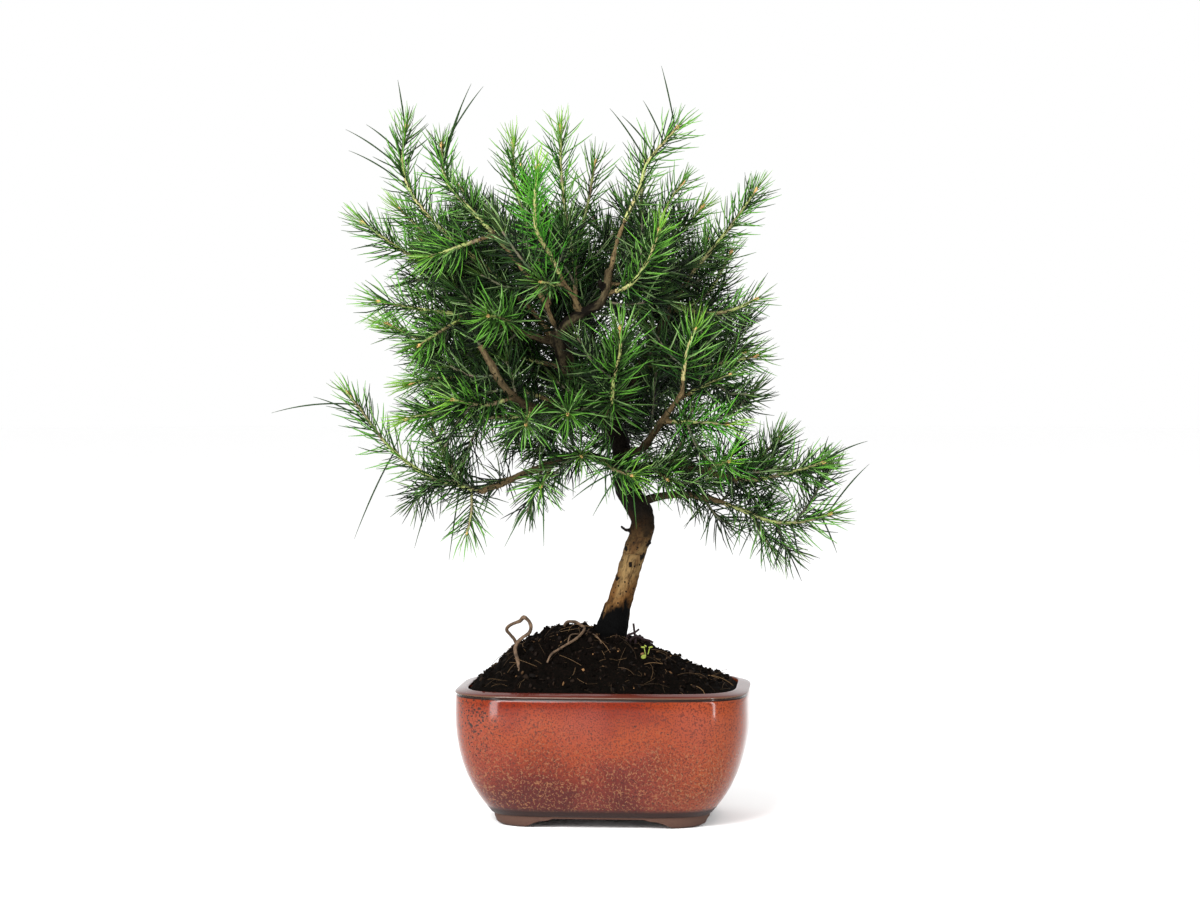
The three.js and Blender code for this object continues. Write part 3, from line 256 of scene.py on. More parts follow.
# Each leafy shoot: name, bare length before its first needles, needle length, colour, points
# from its limb to its tip, long needles as (place along the shoot, tip), side shoots
SHOOTS = [
    ("leader", 38, 24, "mature",
     [(3, -62, 364), (9, -62, 389), (15, -62, 404), (22, -60, 419), (28, -58, 438), (39, -54, 452),
      (49, -50, 463)],
     [(0.95, 37, -54, 502), (0.55, 3, -58, 474), (0.66, 11, -58, 469), (0.78, 25, -58, 479)], []),
    ("bright_shoot", 34, 21, "new",
     [(-15, -55, 340), (-19, -60, 348), (-26, -68, 359), (-35, -76, 377), (-44, -82, 393),
      (-45, -85, 414), (-43, -86, 436)], [], []),
    ("upper_left_outer", 60, 22, "mature",
     [(-29, -38, 319), (-49, -30, 343), (-66, -28, 359), (-79, -30, 371), (-100, -34, 388),
      (-119, -32, 407), (-129, -30, 422), (-134, -28, 439), (-131, -26, 466)],
     [(0.95, -137, -26, 495), (0.76, -172, -28, 462), (0.66, -170, -28, 448), (0.84, -158, -30, 465)], []),
    ("upper_left_inner", 88, 22, "mature",
     [(-29, -40, 322), (-42, -52, 352), (-57, -60, 373), (-70, -62, 389), (-88, -62, 408),
      (-99, -58, 420), (-105, -54, 430), (-107, -50, 452)],
     [(0.83, -87, -50, 491), (0.92, -79, -50, 489), (0.76, -92, -50, 480)], []),
    ("left_upper", 80, 24, "mature",
     [(-28, -33, 313), (-50, -12, 340), (-76, -4, 356), (-102, -8, 368), (-130, -16, 379),
      (-163, -22, 402)], [], []),
    ("left_top_back", 8, 24, "fresh",
     [(-76, -4, 356), (-98, 10, 374), (-120, 16, 393), (-140, 16, 412)], [], []),
    ("left_middle", 3, 25, "mature",
     [(-94, -35, 339), (-112, -37, 341), (-130, -40, 344), (-151, -42, 348)], [], []),
    ("left_low_middle", 20, 25, "fresh",
     [(-22, -24, 302), (-46, -16, 308), (-72, -12, 313), (-100, -12, 317), (-124, -14, 323),
      (-147, -16, 334)], [], []),
    ("left_lower", 16, 25, "fresh",
     [(-30, -28, 279), (-50, -16, 287), (-70, -16, 293), (-93, -22, 297), (-111, -26, 297),
      (-131, -30, 293)], [], []),
    ("left_edge", 14, 24, "fresh",
     [(-39, -38, 278), (-60, -44, 272), (-84, -48, 272), (-112, -50, 274), (-133, -52, 270)], [], []),
    ("lower_left_branch", 2, 23, "mature",
     [(-82, -38, 222), (-96, -38, 226), (-106, -38, 228), (-119, -38, 234), (-134, -38, 244),
      (-147, -38, 257), (-161, -38, 276), (-171, -38, 289)],
     [(0.9, -221, -38, 274), (0.55, -166, -38, 190), (0.75, -193, -38, 285), (0.1, -103, -40, 176),
      (0.25, -126, -40, 184)],
     [[(-96, -38, 226), (-104, -44, 245), (-114, -48, 264)],
      [(-88, -38, 224), (-88, -42, 208), (-91, -46, 194)]]),
    ("lower_right_branch", 3, 24, "mature",
     [(77, -32, 215), (95, -34, 208), (111, -36, 202), (130, -38, 202), (151, -40, 208)],
     [(0.95, 175, -44, 241), (0.3, 107, -36, 168), (0.62, 130, -36, 171), (0.9, 154, -38, 181)],
     [[(97, -34, 207), (104, -26, 196), (112, -20, 182)]]),
    ("right_middle", 4, 24, "mature",
     [(85, -32, 230), (100, -36, 230), (119, -40, 234), (146, -44, 242)], [(0.95, 174, -46, 256)],
     [[(95, -35, 230), (104, -28, 244), (117, -22, 258)]]),
    ("yellow_stem_shoot", 10, 25, "fresh",
     [(51, -46, 287), (52, -52, 302), (55, -54, 318), (60, -56, 331)], [], []),
    ("diagonal_shoot", 8, 22, "mature",
     [(52, 0, 357), (62, -4, 371), (73, -8, 384), (87, -12, 402), (102, -16, 424)], [], []),
    ("right_inner_shoot", 8, 22, "mature",
     [(43, 6, 340), (58, 16, 346), (70, 22, 354), (79, 24, 368), (87, 24, 384)], [], []),
    ("right_top_shoot", 14, 22, "fresh",
     [(32, 16, 319), (34, 26, 352), (42, 26, 379), (56, 22, 400), (68, 18, 414)], [], []),
    ("cream_shoot", 12, 22, "mature",
     [(2, -60, 358), (20, -52, 362), (29, -44, 376), (35, -38, 396), (43, -34, 414), (53, -30, 428)],
     [], []),
    ("front_right_small", 8, 22, "fresh",
     [(0, -59, 352), (16, -64, 358), (28, -68, 374), (36, -70, 396)], [], []),
    ("top_left_centre", 14, 23, "fresh",
     [(-36, -50, 345), (-44, -30, 375), (-54, -18, 405), (-60, -14, 430), (-61, -12, 456)], [], []),
    ("top_centre", 14, 24, "fresh",
     [(-19, -57, 343), (-20, -40, 371), (-25, -30, 401), (-29, -24, 437), (-29, -20, 466)], [], []),
    ("top_right_centre", 14, 24, "mature",
     [(-33, 0, 353), (-20, 2, 380), (-12, 6, 410), (-6, 8, 444)], [], []),
    ("front_rosette_left", 12, 27, "mature",
     [(-56, -34, 328), (-62, -58, 334), (-69, -80, 337), (-76, -96, 338)], [], []),
    ("front_rosette_top", 12, 25, "mature", [(-26, -68, 359), (-32, -86, 358), (-42, -102, 360)], [], []),
    ("front_rosette_low_left", 14, 27, "mature",
     [(-48, -48, 278), (-50, -66, 273), (-51, -86, 267)], [], []),
    ("front_rosette_low", 12, 26, "mature", [(-28, -26, 279), (-24, -50, 276), (-24, -80, 274)], [], []),
    ("front_rosette_under", 18, 25, "mature", [(-16, -17, 245), (-16, -38, 248), (-15, -62, 246)], [], []),
    ("trunk_rosette", 16, 26, "fresh", [(0, -6, 241), (0, -24, 240), (8, -40, 236), (19, -52, 233)],
     [(0.95, 21, -58, 198), (0.8, 15, -52, 204), (0.9, 45, -58, 210), (0.6, -22, -46, 217),
      (0.7, -8, -48, 206)], []),
    ("front_rosette_right", 18, 25, "mature", [(31, -8, 238), (36, -28, 234), (42, -50, 230)], [], []),
    ("low_rosette_left", 16, 25, "fresh", [(-34, -28, 241), (-38, -44, 233), (-42, -62, 226)],
     [(0.65, -40, -50, 186), (0.9, -66, -56, 186)], []),
    ("centre_rosette", 30, 29, "mature",
     [(-1, 2, 271), (4, -30, 278), (5, -58, 284), (6, -68, 298), (10, -76, 314), (10, -84, 332)], [], []),
    ("right_rosette_high", 10, 25, "new", [(37, -30, 268), (60, -44, 268), (82, -54, 267)], [], []),
    ("right_rosette_low", 12, 25, "new", [(67, -26, 235), (75, -42, 240), (82, -60, 243)], [], []),
    ("right_front_shoot", 10, 24, "mature", [(48, -42, 283), (66, -38, 292), (84, -40, 300)], [], []),
    ("left_front_upper", 12, 24, "fresh", [(-72, -62, 391), (-92, -68, 384), (-114, -74, 376)], [], []),
    ("left_front_low", 8, 25, "mature", [(-90, -34, 338), (-104, -56, 330), (-122, -74, 318)], [], []),
    ("left_front_under", 8, 25, "fresh", [(-59, -60, 285), (-78, -70, 280), (-100, -84, 284)], [], []),
    ("right_outer_high", 8, 24, "mature",
     [(46, 4, 346), (66, -14, 340), (84, -26, 342), (102, -34, 350)], [], []),
    ("right_outer_low", 12, 24, "mature",
     [(26, 20, 304), (52, 14, 304), (78, 8, 306), (104, 2, 312)], [], []),
    ("back_top_left", 10, 24, "mature", [(-36, 20, 375), (-46, 40, 408), (-58, 54, 444)], [], []),
    ("back_upper_left", 10, 24, "mature", [(-35, 10, 365), (-68, 32, 390), (-102, 46, 430)], [], []),
    ("back_left_high", 6, 25, "mature", [(-78, 56, 334), (-104, 60, 362), (-128, 58, 394)], [], []),
    ("back_left_middle", 8, 25, "mature", [(-50, 44, 312), (-68, 74, 330), (-88, 100, 350)], [], []),
    ("back_left_low", 10, 25, "mature", [(-50, 44, 312), (-84, 60, 304), (-120, 74, 290)], [], []),
    ("back_left_under", 12, 25, "fresh", [(-24, 24, 290), (-44, 58, 274), (-66, 92, 256)], [], []),
    ("back_high", 8, 25, "fresh", [(-8, 62, 322), (-14, 80, 352), (-22, 88, 386)], [], []),
    ("back_middle", 10, 25, "mature", [(0, 44, 290), (-6, 76, 302), (-12, 112, 312)], [], []),
    ("back_low", 12, 25, "mature", [(8, 22, 262), (8, 56, 258), (6, 96, 250)], [], []),
    ("back_right_high", 6, 25, "mature", [(56, 52, 336), (66, 68, 364), (72, 80, 394)], [], []),
    ("back_right_middle", 8, 25, "fresh", [(38, 40, 310), (66, 50, 310), (98, 58, 314)], [], []),
    ("back_right_low", 12, 25, "mature", [(18, 21, 289), (36, 60, 288), (52, 104, 294)], [], []),
    ("back_right_top", 14, 24, "mature",
     [(32, 17, 319), (22, 40, 356), (24, 54, 402), (28, 60, 446)], [], []),
]
# Shoots whose stem is a pale yellow candle of this spring
PALE_STEMS = ("leader", "bright_shoot", "upper_left_outer", "yellow_stem_shoot", "centre_rosette",
              "cream_shoot", "front_right_small", "left_lower")
# Shoots with fewer needles than the rest, and what share of them they have
SPARSE_SHOOTS = {
    "back_right_top": 0.5, "top_right_centre": 0.6, "right_top_shoot": 0.65, "right_inner_shoot": 0.5,
    "right_outer_high": 0.5, "right_outer_low": 0.7, "back_top_left": 0.6, "leader": 0.75,
    "cream_shoot": 0.7, "back_right_high": 0.7, "lower_left_branch": 0.75, "lower_right_branch": 0.85,
    "top_centre": 0.75, "top_left_centre": 0.75}
# Each age of needles, and the inner ones painted dark as the crown's shade: its material, and how
# far its needles turn yellow-green at a shoot's end
NEEDLE_AGES = {
    "mature": ("Mature pine needle", 0.15),
    "fresh": ("Fresh pine needle", 0.5),
    "new": ("New pine needle", 0.8),
    "inner": ("Shaded pine needle", 0.1),
}
# What each short needle draws, and between which values: a turn about its stem, a lean and a roll in
# radians, a share of the needle length, and a tint. The first draw's seed is the one given here.
NEEDLE_DRAWS = ((-0.5, 0.5), (-0.36, 0.36), (-0.9, 0.9), (0.74, 1.14), (0.0, 1.0))
NEEDLE_SEED = 71
BUD_RADIUS = 1.3
STEM_RADIUS = 1.5
STEM_TIP_RADIUS = 0.8
BARE_RADIUS = 1.7
SIDE_RADIUS = 1.0
# Long needles: points on each, arch and reach as shares of the way to its tip, width as a share of a
# short one's, where it starts to taper and how fast, and tint
LONG_POINTS = 13
LONG_BEND = 0.05
LONG_REACH = 0.985
LONG_WIDTH = 1.1
LONG_TAPER_START = 0.6
LONG_TAPER = 2.2
LONG_TINT = 0.35
GOLDEN_ANGLE = 2.39996

# What stands or lies in the soil, from its buried start
LOOP_ROOT = [
    (-57, -12, 104), (-58, -13, 114), (-60, -14, 121), (-65.5, -15, 128.5), (-63, -17, 131.6),
    (-56.3, -20, 134.8), (-53.6, -23, 137.4), (-49.4, -27, 133.4), (-49.6, -31, 128.4),
    (-54.4, -34, 124.8), (-58.4, -36, 121), (-59.2, -38, 116), (-57.8, -40, 111.4), (-56.8, -43, 107.4),
    (-56, -45, 101)]
FRONT_ROOT = [
    (-28, 6, 122), (-26, 3, 131), (-20.6, -1, 132.4), (-13.8, -9, 129), (-15.4, -18, 125.8),
    (-20, -26, 122.6), (-25.8, -32, 119.7), (-31, -37, 116.8), (-35.4, -41, 114.2), (-38, -43, 109)]
THIN_ROOT = [
    (-24.6, -29, 117), (-24, -27.5, 122.4), (-22.6, -22.6, 125.4), (-18.6, -17.4, 125.6),
    (-14.6, -15, 124.8), (-11, -16.6, 125.9), (-7, -18.8, 125.4), (-3.6, -23, 122.8), (-2.2, -26, 120.4),
    (-1.6, -27, 115)]
TWIG_LINES = [
    [(20.8, -9, 112), (20.8, -9, 121), (20.2, -9, 126), (19.4, -9, 132)],
    [(14, -9, 118), (15.8, -9, 123.8), (20.4, -9.6, 126), (23.2, -10, 128.2)],
    [(16, -10, 118), (18.2, -10, 121.6), (21.6, -10, 123.4), (25.9, -10.4, 121.6), (30, -11, 120.6),
     (32.8, -11.6, 119.4)]]
SPROUT_LINES = [
    [(27.6, -30, 106), (27.6, -30.5, 111.5), (27, -31, 114.5), (26.4, -31, 118)],
    [(28.4, -30, 106), (28.4, -30.5, 111.5), (29.2, -31, 114.5), (30.1, -31, 118)],
    [(27.8, -30, 107), (27, -31.6, 111.4), (26, -32.4, 111.8)]]
# The seedling's leaves: middle, half length, half width, turn
SPROUT_LEAVES = [
    (25.6, -31.6, 118.2, 1.5, 0.6, -0.1), (27.2, -31.2, 119, 1, 0.5, -0.7),
    (30.7, -31.6, 118.2, 1.5, 0.6, 0.15), (26, -32.8, 111.9, 1.8, 1.4, 0.4)]
LEAF_SIDES = 14
LEAF_PROFILE = [(0, -0.3), (0.5, -0.26), (0.85, -0.12), (1, 0.06), (0.88, 0.16), (0.5, 0.04), (0, -0.02)]

# The photograph's view: what the camera looks at in the tree's frame, and from where
VIEW_TARGET = (-3, 0, 248.2)
VIEW_DISTANCE = 2200
VIEW_ELEVATION = math.radians(2.1)
VIEW_WIDTH = 807.6
# Each light: its place in the tree's frame, its width and height in metres, the setting that gives
# its power, and its share of that
LIGHTS = {
    "key light": ((-700, -1500, 1300), (0.9, 0.9), "key_power", 1),
    "left light": ((-480, -560, 460), (0.12, 1.4), "side_power", 1.6),
    "right light": ((520, -560, 460), (0.05, 1.4), "side_power", 1),
}
FLOOR_PROFILE = [(0, 0), (2500, 0), (9000, 0)]
FLOOR_SIDES = 64

# The kind of a geometry tree's input by the type of its default value
SOCKET_KINDS = {
    float: "NodeSocketFloat",
    int: "NodeSocketInt",
    tuple: "NodeSocketVector",
    type(None): "NodeSocketMaterial",
}


def linear(text):
    """A linear colour from an sRGB hex value such as #8a745a."""
    values = [int(text[i:i + 2], 16) / 255 for i in (1, 3, 5)]
    return [v / 12.92 if v <= 0.04045 else ((v + 0.055) / 1.055) ** 2.4 for v in values]


def colour_setting(name, text, description):
    """A colour property whose default is an sRGB hex value."""
    return FloatVectorProperty(name=name, description=description, subtype="COLOR", size=3,
                               min=0, max=1, default=linear(text))


class BonsaiPotSettings(bpy.types.PropertyGroup):
    """Colours of the glazed pot."""

    copper: colour_setting("Copper glaze", "#5b1601", "Glaze over the upper half of the wall")
    brick: colour_setting("Brick glaze", "#3e0f0b", "Glaze over the lower half of the wall")
    blush: colour_setting("Blush", "#6c2c20", "Pink bloom where the glaze is thin")
    speck: colour_setting("Specks", "#320e07", "Fine dark speckle")
    # The amber is also a painted glow by the pot's corners, where the side lights shine
    amber: colour_setting("Amber glaze", "#813915", "Thin glaze by the corners and at mid height")
    hem: colour_setting("Glaze hem", "#1c0804", "Thick dark lower edge of the glaze")
    fleck: colour_setting("Flecks", "#785235", "Worm-like flecks in the lower half")
    # Also painted into the groove under the rim as shade
    pit_and_groove_shade: colour_setting("Pits", "#1e120e", "Burst bubbles in the glaze")
    rim: colour_setting("Rim", "#441d17", "Thin glaze over the rim")
    # A painted highlight along the rim's edge; the clay's pale grit takes this colour too
    rim_edge: colour_setting("Rim edge", "#483529", "Where the glaze breaks over the rim's edge")
    clay: colour_setting("Clay", "#422c24", "Unglazed clay of the feet")
    fleck_size: FloatProperty(name="Fleck size", description="Width of one mesh of the flecks",
                              default=0.0024, min=0.001, max=0.02, unit="LENGTH")


class BonsaiSoilSettings(bpy.types.PropertyGroup):
    """Sizes and colours of the soil and of what lies on it."""

    peat: colour_setting("Peat", "#040302", "Wet black peat")
    brown_peat: colour_setting("Brown peat", "#110906", "Drier crumbs of peat")
    fibre: colour_setting("Fibre", "#71593d", "Dry root fibres on the soil")
    chip: colour_setting("Chip", "#7d5c3b", "Chips of bark and small stones")
    splinter: colour_setting("Splinter", "#1c120a", "Half-rotted wood in the peat")
    chip_size: FloatProperty(name="Chip size", description="Length of the largest chips",
                             default=0.0034, min=0.001, max=0.01, unit="LENGTH")
    chip_density: FloatProperty(name="Chip density", description="Chips per square metre",
                                default=3800, min=0, max=100000)
    splinter_size: FloatProperty(name="Splinter size", description="Length of the largest splinters",
                                 default=0.0052, min=0.001, max=0.02, unit="LENGTH")
    splinter_density: FloatProperty(name="Splinter density", description="Splinters per square metre",
                                    default=19000, min=0, max=100000)
    lump_height: FloatProperty(name="Lump height", description="Height of the lumps on the mound",
                               default=0.0038, min=0, max=0.006, unit="LENGTH")
    clod_size: FloatProperty(name="Clod size", description="Width of the largest loose clods",
                             default=0.0036, min=0.001, max=0.01, unit="LENGTH")
    clod_density: FloatProperty(name="Clod density", description="Loose clods per square metre",
                                default=36000, min=0, max=200000)
    fibre_length: FloatProperty(name="Fibre length", description="Length of the longest fibres",
                                default=0.021, min=0.002, max=0.05, unit="LENGTH")
    fibre_density: FloatProperty(name="Fibre density", description="Fibres per square metre",
                                 default=9000, min=0, max=100000)


class BonsaiWoodSettings(bpy.types.PropertyGroup):
    """Sizes and colours of the bark, roots and twigs."""

    bark: colour_setting("Bark", "#46321d", "Thin grey-tan bark of the trunk")
    pale_bark: colour_setting("Pale bark", "#6c5738", "Rubbed and dry bark")
    warm_bark: colour_setting("Warm bark", "#593b1c", "Orange-tan bark just over the soil")
    elbow_bark: colour_setting("Elbow bark", "#1b1108", "Brown skin at the trunk's elbow")
    dark_bark: colour_setting("Dark bark", "#100d0a", "Cracks, specks and shaded bark")
    crown_bark: colour_setting("Crown bark", "#4a4230", "Bark of the branches inside the crown")
    stain: colour_setting("Soil stain", "#020202", "Wet soil on the foot of the trunk")
    twig: colour_setting("Twig", "#5a4c34", "Thin bark of the young twigs")
    old_root: colour_setting("Old root", "#534233", "Dry skin of the old roots")
    dead_wood: colour_setting("Dead wood", "#1c1012", "Dead twig in the soil")
    sprout: colour_setting("Sprout", "#727c33", "Stems and leaves of the seedling")
    voxel: FloatProperty(name="Mesh size", description="Size of the mesh that joins the limbs",
                         default=0.00105, min=0.0004, max=0.002, unit="LENGTH")
    bark_relief: FloatProperty(name="Bark relief", description="Height of the bark's unevenness",
                               default=0.0008, min=0, max=0.002, unit="LENGTH")


class BonsaiNeedleSettings(bpy.types.PropertyGroup):
    """Sizes and colours of the needles."""

    per_metre: FloatProperty(name="Needles per metre", description="Needles on a metre of stem",
                             default=2050, min=100, max=8000)
    radius: FloatProperty(name="Needle radius", description="Half the width of a short needle",
                          default=0.00045, min=0.0001, max=0.001, unit="LENGTH")
    lean_start: FloatProperty(name="Lean at the start", description="Angle between stem and lowest needles",
                              default=1.22, min=0, max=1.57, unit="ROTATION")
    lean_tip: FloatProperty(name="Lean at the tip", description="Angle between stem and last needles",
                            default=0.5, min=0, max=1.57, unit="ROTATION")
    tip_crowding: FloatProperty(name="Tip crowding", description="Below 1, needles crowd to the tip",
                                default=0.95, min=0.3, max=1.5)
    seed: IntProperty(name="Seed", description="Start of the needles' random draw", default=11, min=0)
    mature: colour_setting("Mature needles", "#4d822b", "Needles of last year")
    mature_dark: colour_setting("Mature needle roots", "#061406", "Shaded roots of mature needles")
    fresh: colour_setting("Fresh needles", "#528729", "Needles of this summer")
    fresh_dark: colour_setting("Fresh needle roots", "#10300c", "Shaded roots of fresh needles")
    new: colour_setting("New needles", "#4a8a22", "Needles of this spring's growth")
    new_dark: colour_setting("New needle roots", "#2a6418", "Shaded roots of new needles")
    bloom: colour_setting("Bloom", "#7d9862", "Blue-grey wax on some needles")
    inner: colour_setting("Inner needles", "#1b360f", "Old shaded needles inside the crown")
    inner_dark: colour_setting("Inner needle roots", "#020702", "Roots of the inner needles")
    tip: colour_setting("Growing tips", "#85ad38", "The youngest needles at a shoot's end")
    candle: colour_setting("Candle", "#8c8352", "Skin of the palest new stems")
    bud: colour_setting("Bud", "#b08a52", "Scales of the buds at the ends of the shoots")
    stem: colour_setting("Green stem", "#7f8a48", "Skin of the green stems")


class BonsaiStageSettings(bpy.types.PropertyGroup):
    """The floor and the light."""

    floor: colour_setting("Floor", "#fefefe", "Plain pale floor")
    key_power: FloatProperty(name="Key light", description="Power of the large front light",
                             default=48, min=0, max=500, unit="POWER")
    side_power: FloatProperty(name="Side lights", description="Power of the right one; the left has more",
                              default=5, min=0, max=500, unit="POWER")
    sky_strength: FloatProperty(name="Sky", description="Strength of the white surroundings",
                                default=1.0, min=0, max=5)


def add_node(tree, kind, inputs=None, **settings):
    """Adds a node, sets its properties, and feeds its inputs with values or from other nodes. In a
    Map Range, inputs 1 and 2 are the range that it reads, and 3 and 4 the range that it gives."""
    node = tree.nodes.new(kind)
    for name, value in settings.items():
        setattr(node, name, value)
    for key, value in (inputs or {}).items():
        if isinstance(value, bpy.types.NodeSocket):
            tree.links.new(value, node.inputs[key])
        else:
            node.inputs[key].default_value = value
    return node


def feed(node, key, socket):
    """Links another node's output to a node's input."""
    node.id_data.links.new(socket, node.inputs[key])


def rgba(colour):
    """A colour with its alpha, as a colour socket takes it."""
    return (*colour, 1)


def painted(add, ground, *coats):
    """Lays coats, each a (share, colour), over a ground colour: returns the last coat's socket."""
    for coat_share, colour in coats:
        under, over = (side if isinstance(side, bpy.types.NodeSocket) else rgba(side)
                       for side in (ground, colour))
        mixed = add("ShaderNodeMix", {0: coat_share, 6: under, 7: over}, data_type="RGBA")
        ground = mixed.outputs[2]
    return ground


def new_material(name, **fixed):
    """A material with a Principled shader: returns it, what adds its nodes, and the shader."""
    material = bpy.data.materials.new(name)
    material.use_nodes = True
    tree = material.node_tree
    shader = tree.nodes["Principled BSDF"]
    for key, value in fixed.items():
        shader.inputs[key.replace("_", " ")].default_value = value
    return material, partial(add_node, tree), shader


def new_tree(name, sockets):
    """A geometry tree with named inputs, given as name: default value, and what adds its nodes. A
    material has no default."""
    tree = bpy.data.node_groups.new(name, "GeometryNodeTree")
    for way in ("INPUT", "OUTPUT"):
        tree.interface.new_socket("Geometry", in_out=way, socket_type="NodeSocketGeometry")
    for socket_name, value in sockets.items():
        kind = SOCKET_KINDS[type(value)]
        socket = tree.interface.new_socket(socket_name, in_out="INPUT", socket_type=kind)
        if value is not None:
            socket.default_value = value
    return tree, partial(add_node, tree)


def end_tree(add, geometry, material):
    """Ends a geometry tree: makes its instances real, and gives all of it a material."""
    real = add("GeometryNodeRealizeInstances", {"Geometry": geometry})
    coated = add("GeometryNodeSetMaterial", {"Geometry": real.outputs[0], "Material": material})
    add("NodeGroupOutput", {"Geometry": coated.outputs[0]})


def grown(name, mesh, tree, values):
    """A plain mesh object from a geometry tree that grows it on a mesh, with its inputs set."""
    seed_object = bpy.data.objects.new(name + " start", mesh)
    bpy.context.scene.collection.objects.link(seed_object)
    modifier = seed_object.modifiers.new(tree.name, "NODES")
    modifier.node_group = tree
    for item in tree.interface.items_tree:
        if item.in_out == "INPUT" and item.name in values:
            modifier[item.identifier] = values[item.name]
    graph = bpy.context.evaluated_depsgraph_get()
    grown_mesh = bpy.data.meshes.new_from_object(seed_object.evaluated_get(graph))
    seed_object.modifiers.clear()
    bpy.data.objects.remove(seed_object)
    if len(grown_mesh.polygons) == 0:
        raise RuntimeError(f"{name} grew no faces")
    return linked(name, grown_mesh)


def linked(name, mesh):
    """A new object of a mesh, in the scene."""
    mesh.name = name
    thing = bpy.data.objects.new(name, mesh)
    bpy.context.scene.collection.objects.link(thing)
    return thing


def applied(thing):
    """Turns an object's modifiers into its plain mesh."""
    graph = bpy.context.evaluated_depsgraph_get()
    mesh = bpy.data.meshes.new_from_object(thing.evaluated_get(graph))
    thing.modifiers.clear()
    old = thing.data
    thing.data = mesh
    bpy.data.meshes.remove(old)
    return thing


def finished(thing, slot, *nodes):
    """Smooths a piece, lets it ride, and hides the frame's nodes that it stands for."""
    thing.data.polygons.foreach_set("use_smooth", np.ones(len(thing.data.polygons), bool))
    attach(thing, "root")
    if nodes:
        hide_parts(*nodes)
    return thing


def placed(points):
    """Points in the tree's frame, in millimetres, as metres in the part's frame."""
    points = np.asarray(points, float)
    cosine, sine = math.cos(TREE_TURN), math.sin(TREE_TURN)
    turned = np.stack([
        points[:, 0] * cosine - points[:, 1] * sine,
        points[:, 0] * sine + points[:, 1] * cosine,
        points[:, 2],
    ], axis=1)
    return turned * MM + POT_MIDDLE


def curve_samples(points):
    """Close points along a centripetal curve through the given ones."""
    points = np.asarray(points, float)
    whole = [2 * points[0] - points[1], *points, 2 * points[-1] - points[-2]]
    share = np.linspace(0, 1, CURVE_STEPS, endpoint=False)[:, None]
    samples = []
    for before, start, end, after in zip(whole, whole[1:], whole[2:], whole[3:]):
        pairs = ((before, start), (start, end), (end, after))
        first, middle, last = (np.linalg.norm(b - a) ** 0.5 for a, b in pairs)
        leaving = (start - before) / first - (end - before) / (first + middle) + (end - start) / middle
        arriving = (end - start) / middle - (after - start) / (middle + last) + (after - end) / last
        leaving, arriving = leaving * middle, arriving * middle
        step = end - start
        samples.append(start + leaving * share + (3 * step - 2 * leaving - arriving) * share ** 2
                       + (leaving + arriving - 2 * step) * share ** 3)
    samples.append(points[-1:])
    return np.concatenate(samples)


def path_length(samples):
    """Distance along a path at each of its points."""
    steps = np.linalg.norm(np.diff(samples, axis=0), axis=1)
    return np.concatenate([[0], np.cumsum(steps)])


def stretch(points, spacing, start=0.0, end=None):
    """Even points along the smooth curve through some points, between two distances along it."""
    samples = curve_samples(points)
    along = path_length(samples)
    end = along[-1] if end is None else min(end, along[-1])
    count = max(2, int(round((end - start) / spacing)) + 1)
    places = np.linspace(start, end, count)
    return np.stack([np.interp(places, along, samples[:, axis]) for axis in range(3)], axis=1)


def line_mesh(name, lines):
    """A mesh of bare edges, from rows of (points in metres, radii in metres, whether long needle)."""
    corners, edges, radii, long_flags = [], [], [], []
    for points, thickness, is_long in lines:
        first = len(corners)
        corners.extend(points)
        radii.extend(thickness)
        long_flags.extend([is_long] * len(points))
        edges.extend((first + i, first + i + 1) for i in range(len(points) - 1))
    mesh = bpy.data.meshes.new(name)
    mesh.from_pydata(corners, edges, [])
    mesh.attributes.new("thickness", "FLOAT", "POINT").data.foreach_set("value", radii)
    mesh.attributes.new("long_needle", "BOOLEAN", "POINT").data.foreach_set("value", long_flags)
    return mesh


def tapering(points, start_radius, end_radius):
    """Radii in metres along a row of points, from one in millimetres to another."""
    return list(np.linspace(start_radius * MM, end_radius * MM, len(points)))


def plan_reach(angle):
    """How far the edge of the pot's plan lies in a direction, as a share of the half length."""
    along = np.abs(np.cos(angle)) ** CORNER_POWER
    across = (np.abs(np.sin(angle)) * POT_HALF_LENGTH / POT_HALF_WIDTH) ** CORNER_POWER
    return (along + across) ** (-1 / CORNER_POWER)


def soil_height(x, y):
    """The height of the mound, in millimetres, from a point in the pot's plan."""
    x, y = np.asarray(x, float), np.asarray(y, float)
    side = np.where(x > HILL_TOP_X, SOIL_EDGE - HILL_TOP_X, SOIL_EDGE + HILL_TOP_X)
    across = (x - HILL_TOP_X) * SOIL_EDGE / side
    share = np.hypot(across, y) / (plan_reach(np.arctan2(y, across)) * SOIL_EDGE)
    to_right = 0.5 + 0.5 * across / np.maximum(np.hypot(across, y), 0.001)
    left, right = (np.interp(share, *zip(*profile)) for profile in (HILL_LEFT, HILL_RIGHT))
    return RIM_HEIGHT - SOIL_BELOW_RIM + left * (1 - to_right) + right * to_right


def turned_mesh(name, profile, sides):
    """A round mesh in metres from (reach, height) points in millimetres. Reach 0 is a pole."""
    corners, rows = [], []
    angles = np.arange(sides) * 2 * math.pi / sides
    for reach, height in profile:
        count = sides if reach > 0 else 1
        rows.append([len(corners) + i % count for i in range(sides)])
        for angle in angles[:count]:
            corners.append((reach * math.cos(angle) * MM, reach * math.sin(angle) * MM, height * MM))
    faces = []
    for lower, upper in zip(rows, rows[1:]):
        for i in range(sides):
            j = (i + 1) % sides
            ring = (lower[i], lower[j], upper[j], upper[i])
            faces.append(tuple(dict.fromkeys(ring)))
    mesh = bpy.data.meshes.new(name)
    mesh.from_pydata(corners, [], faces)
    return mesh


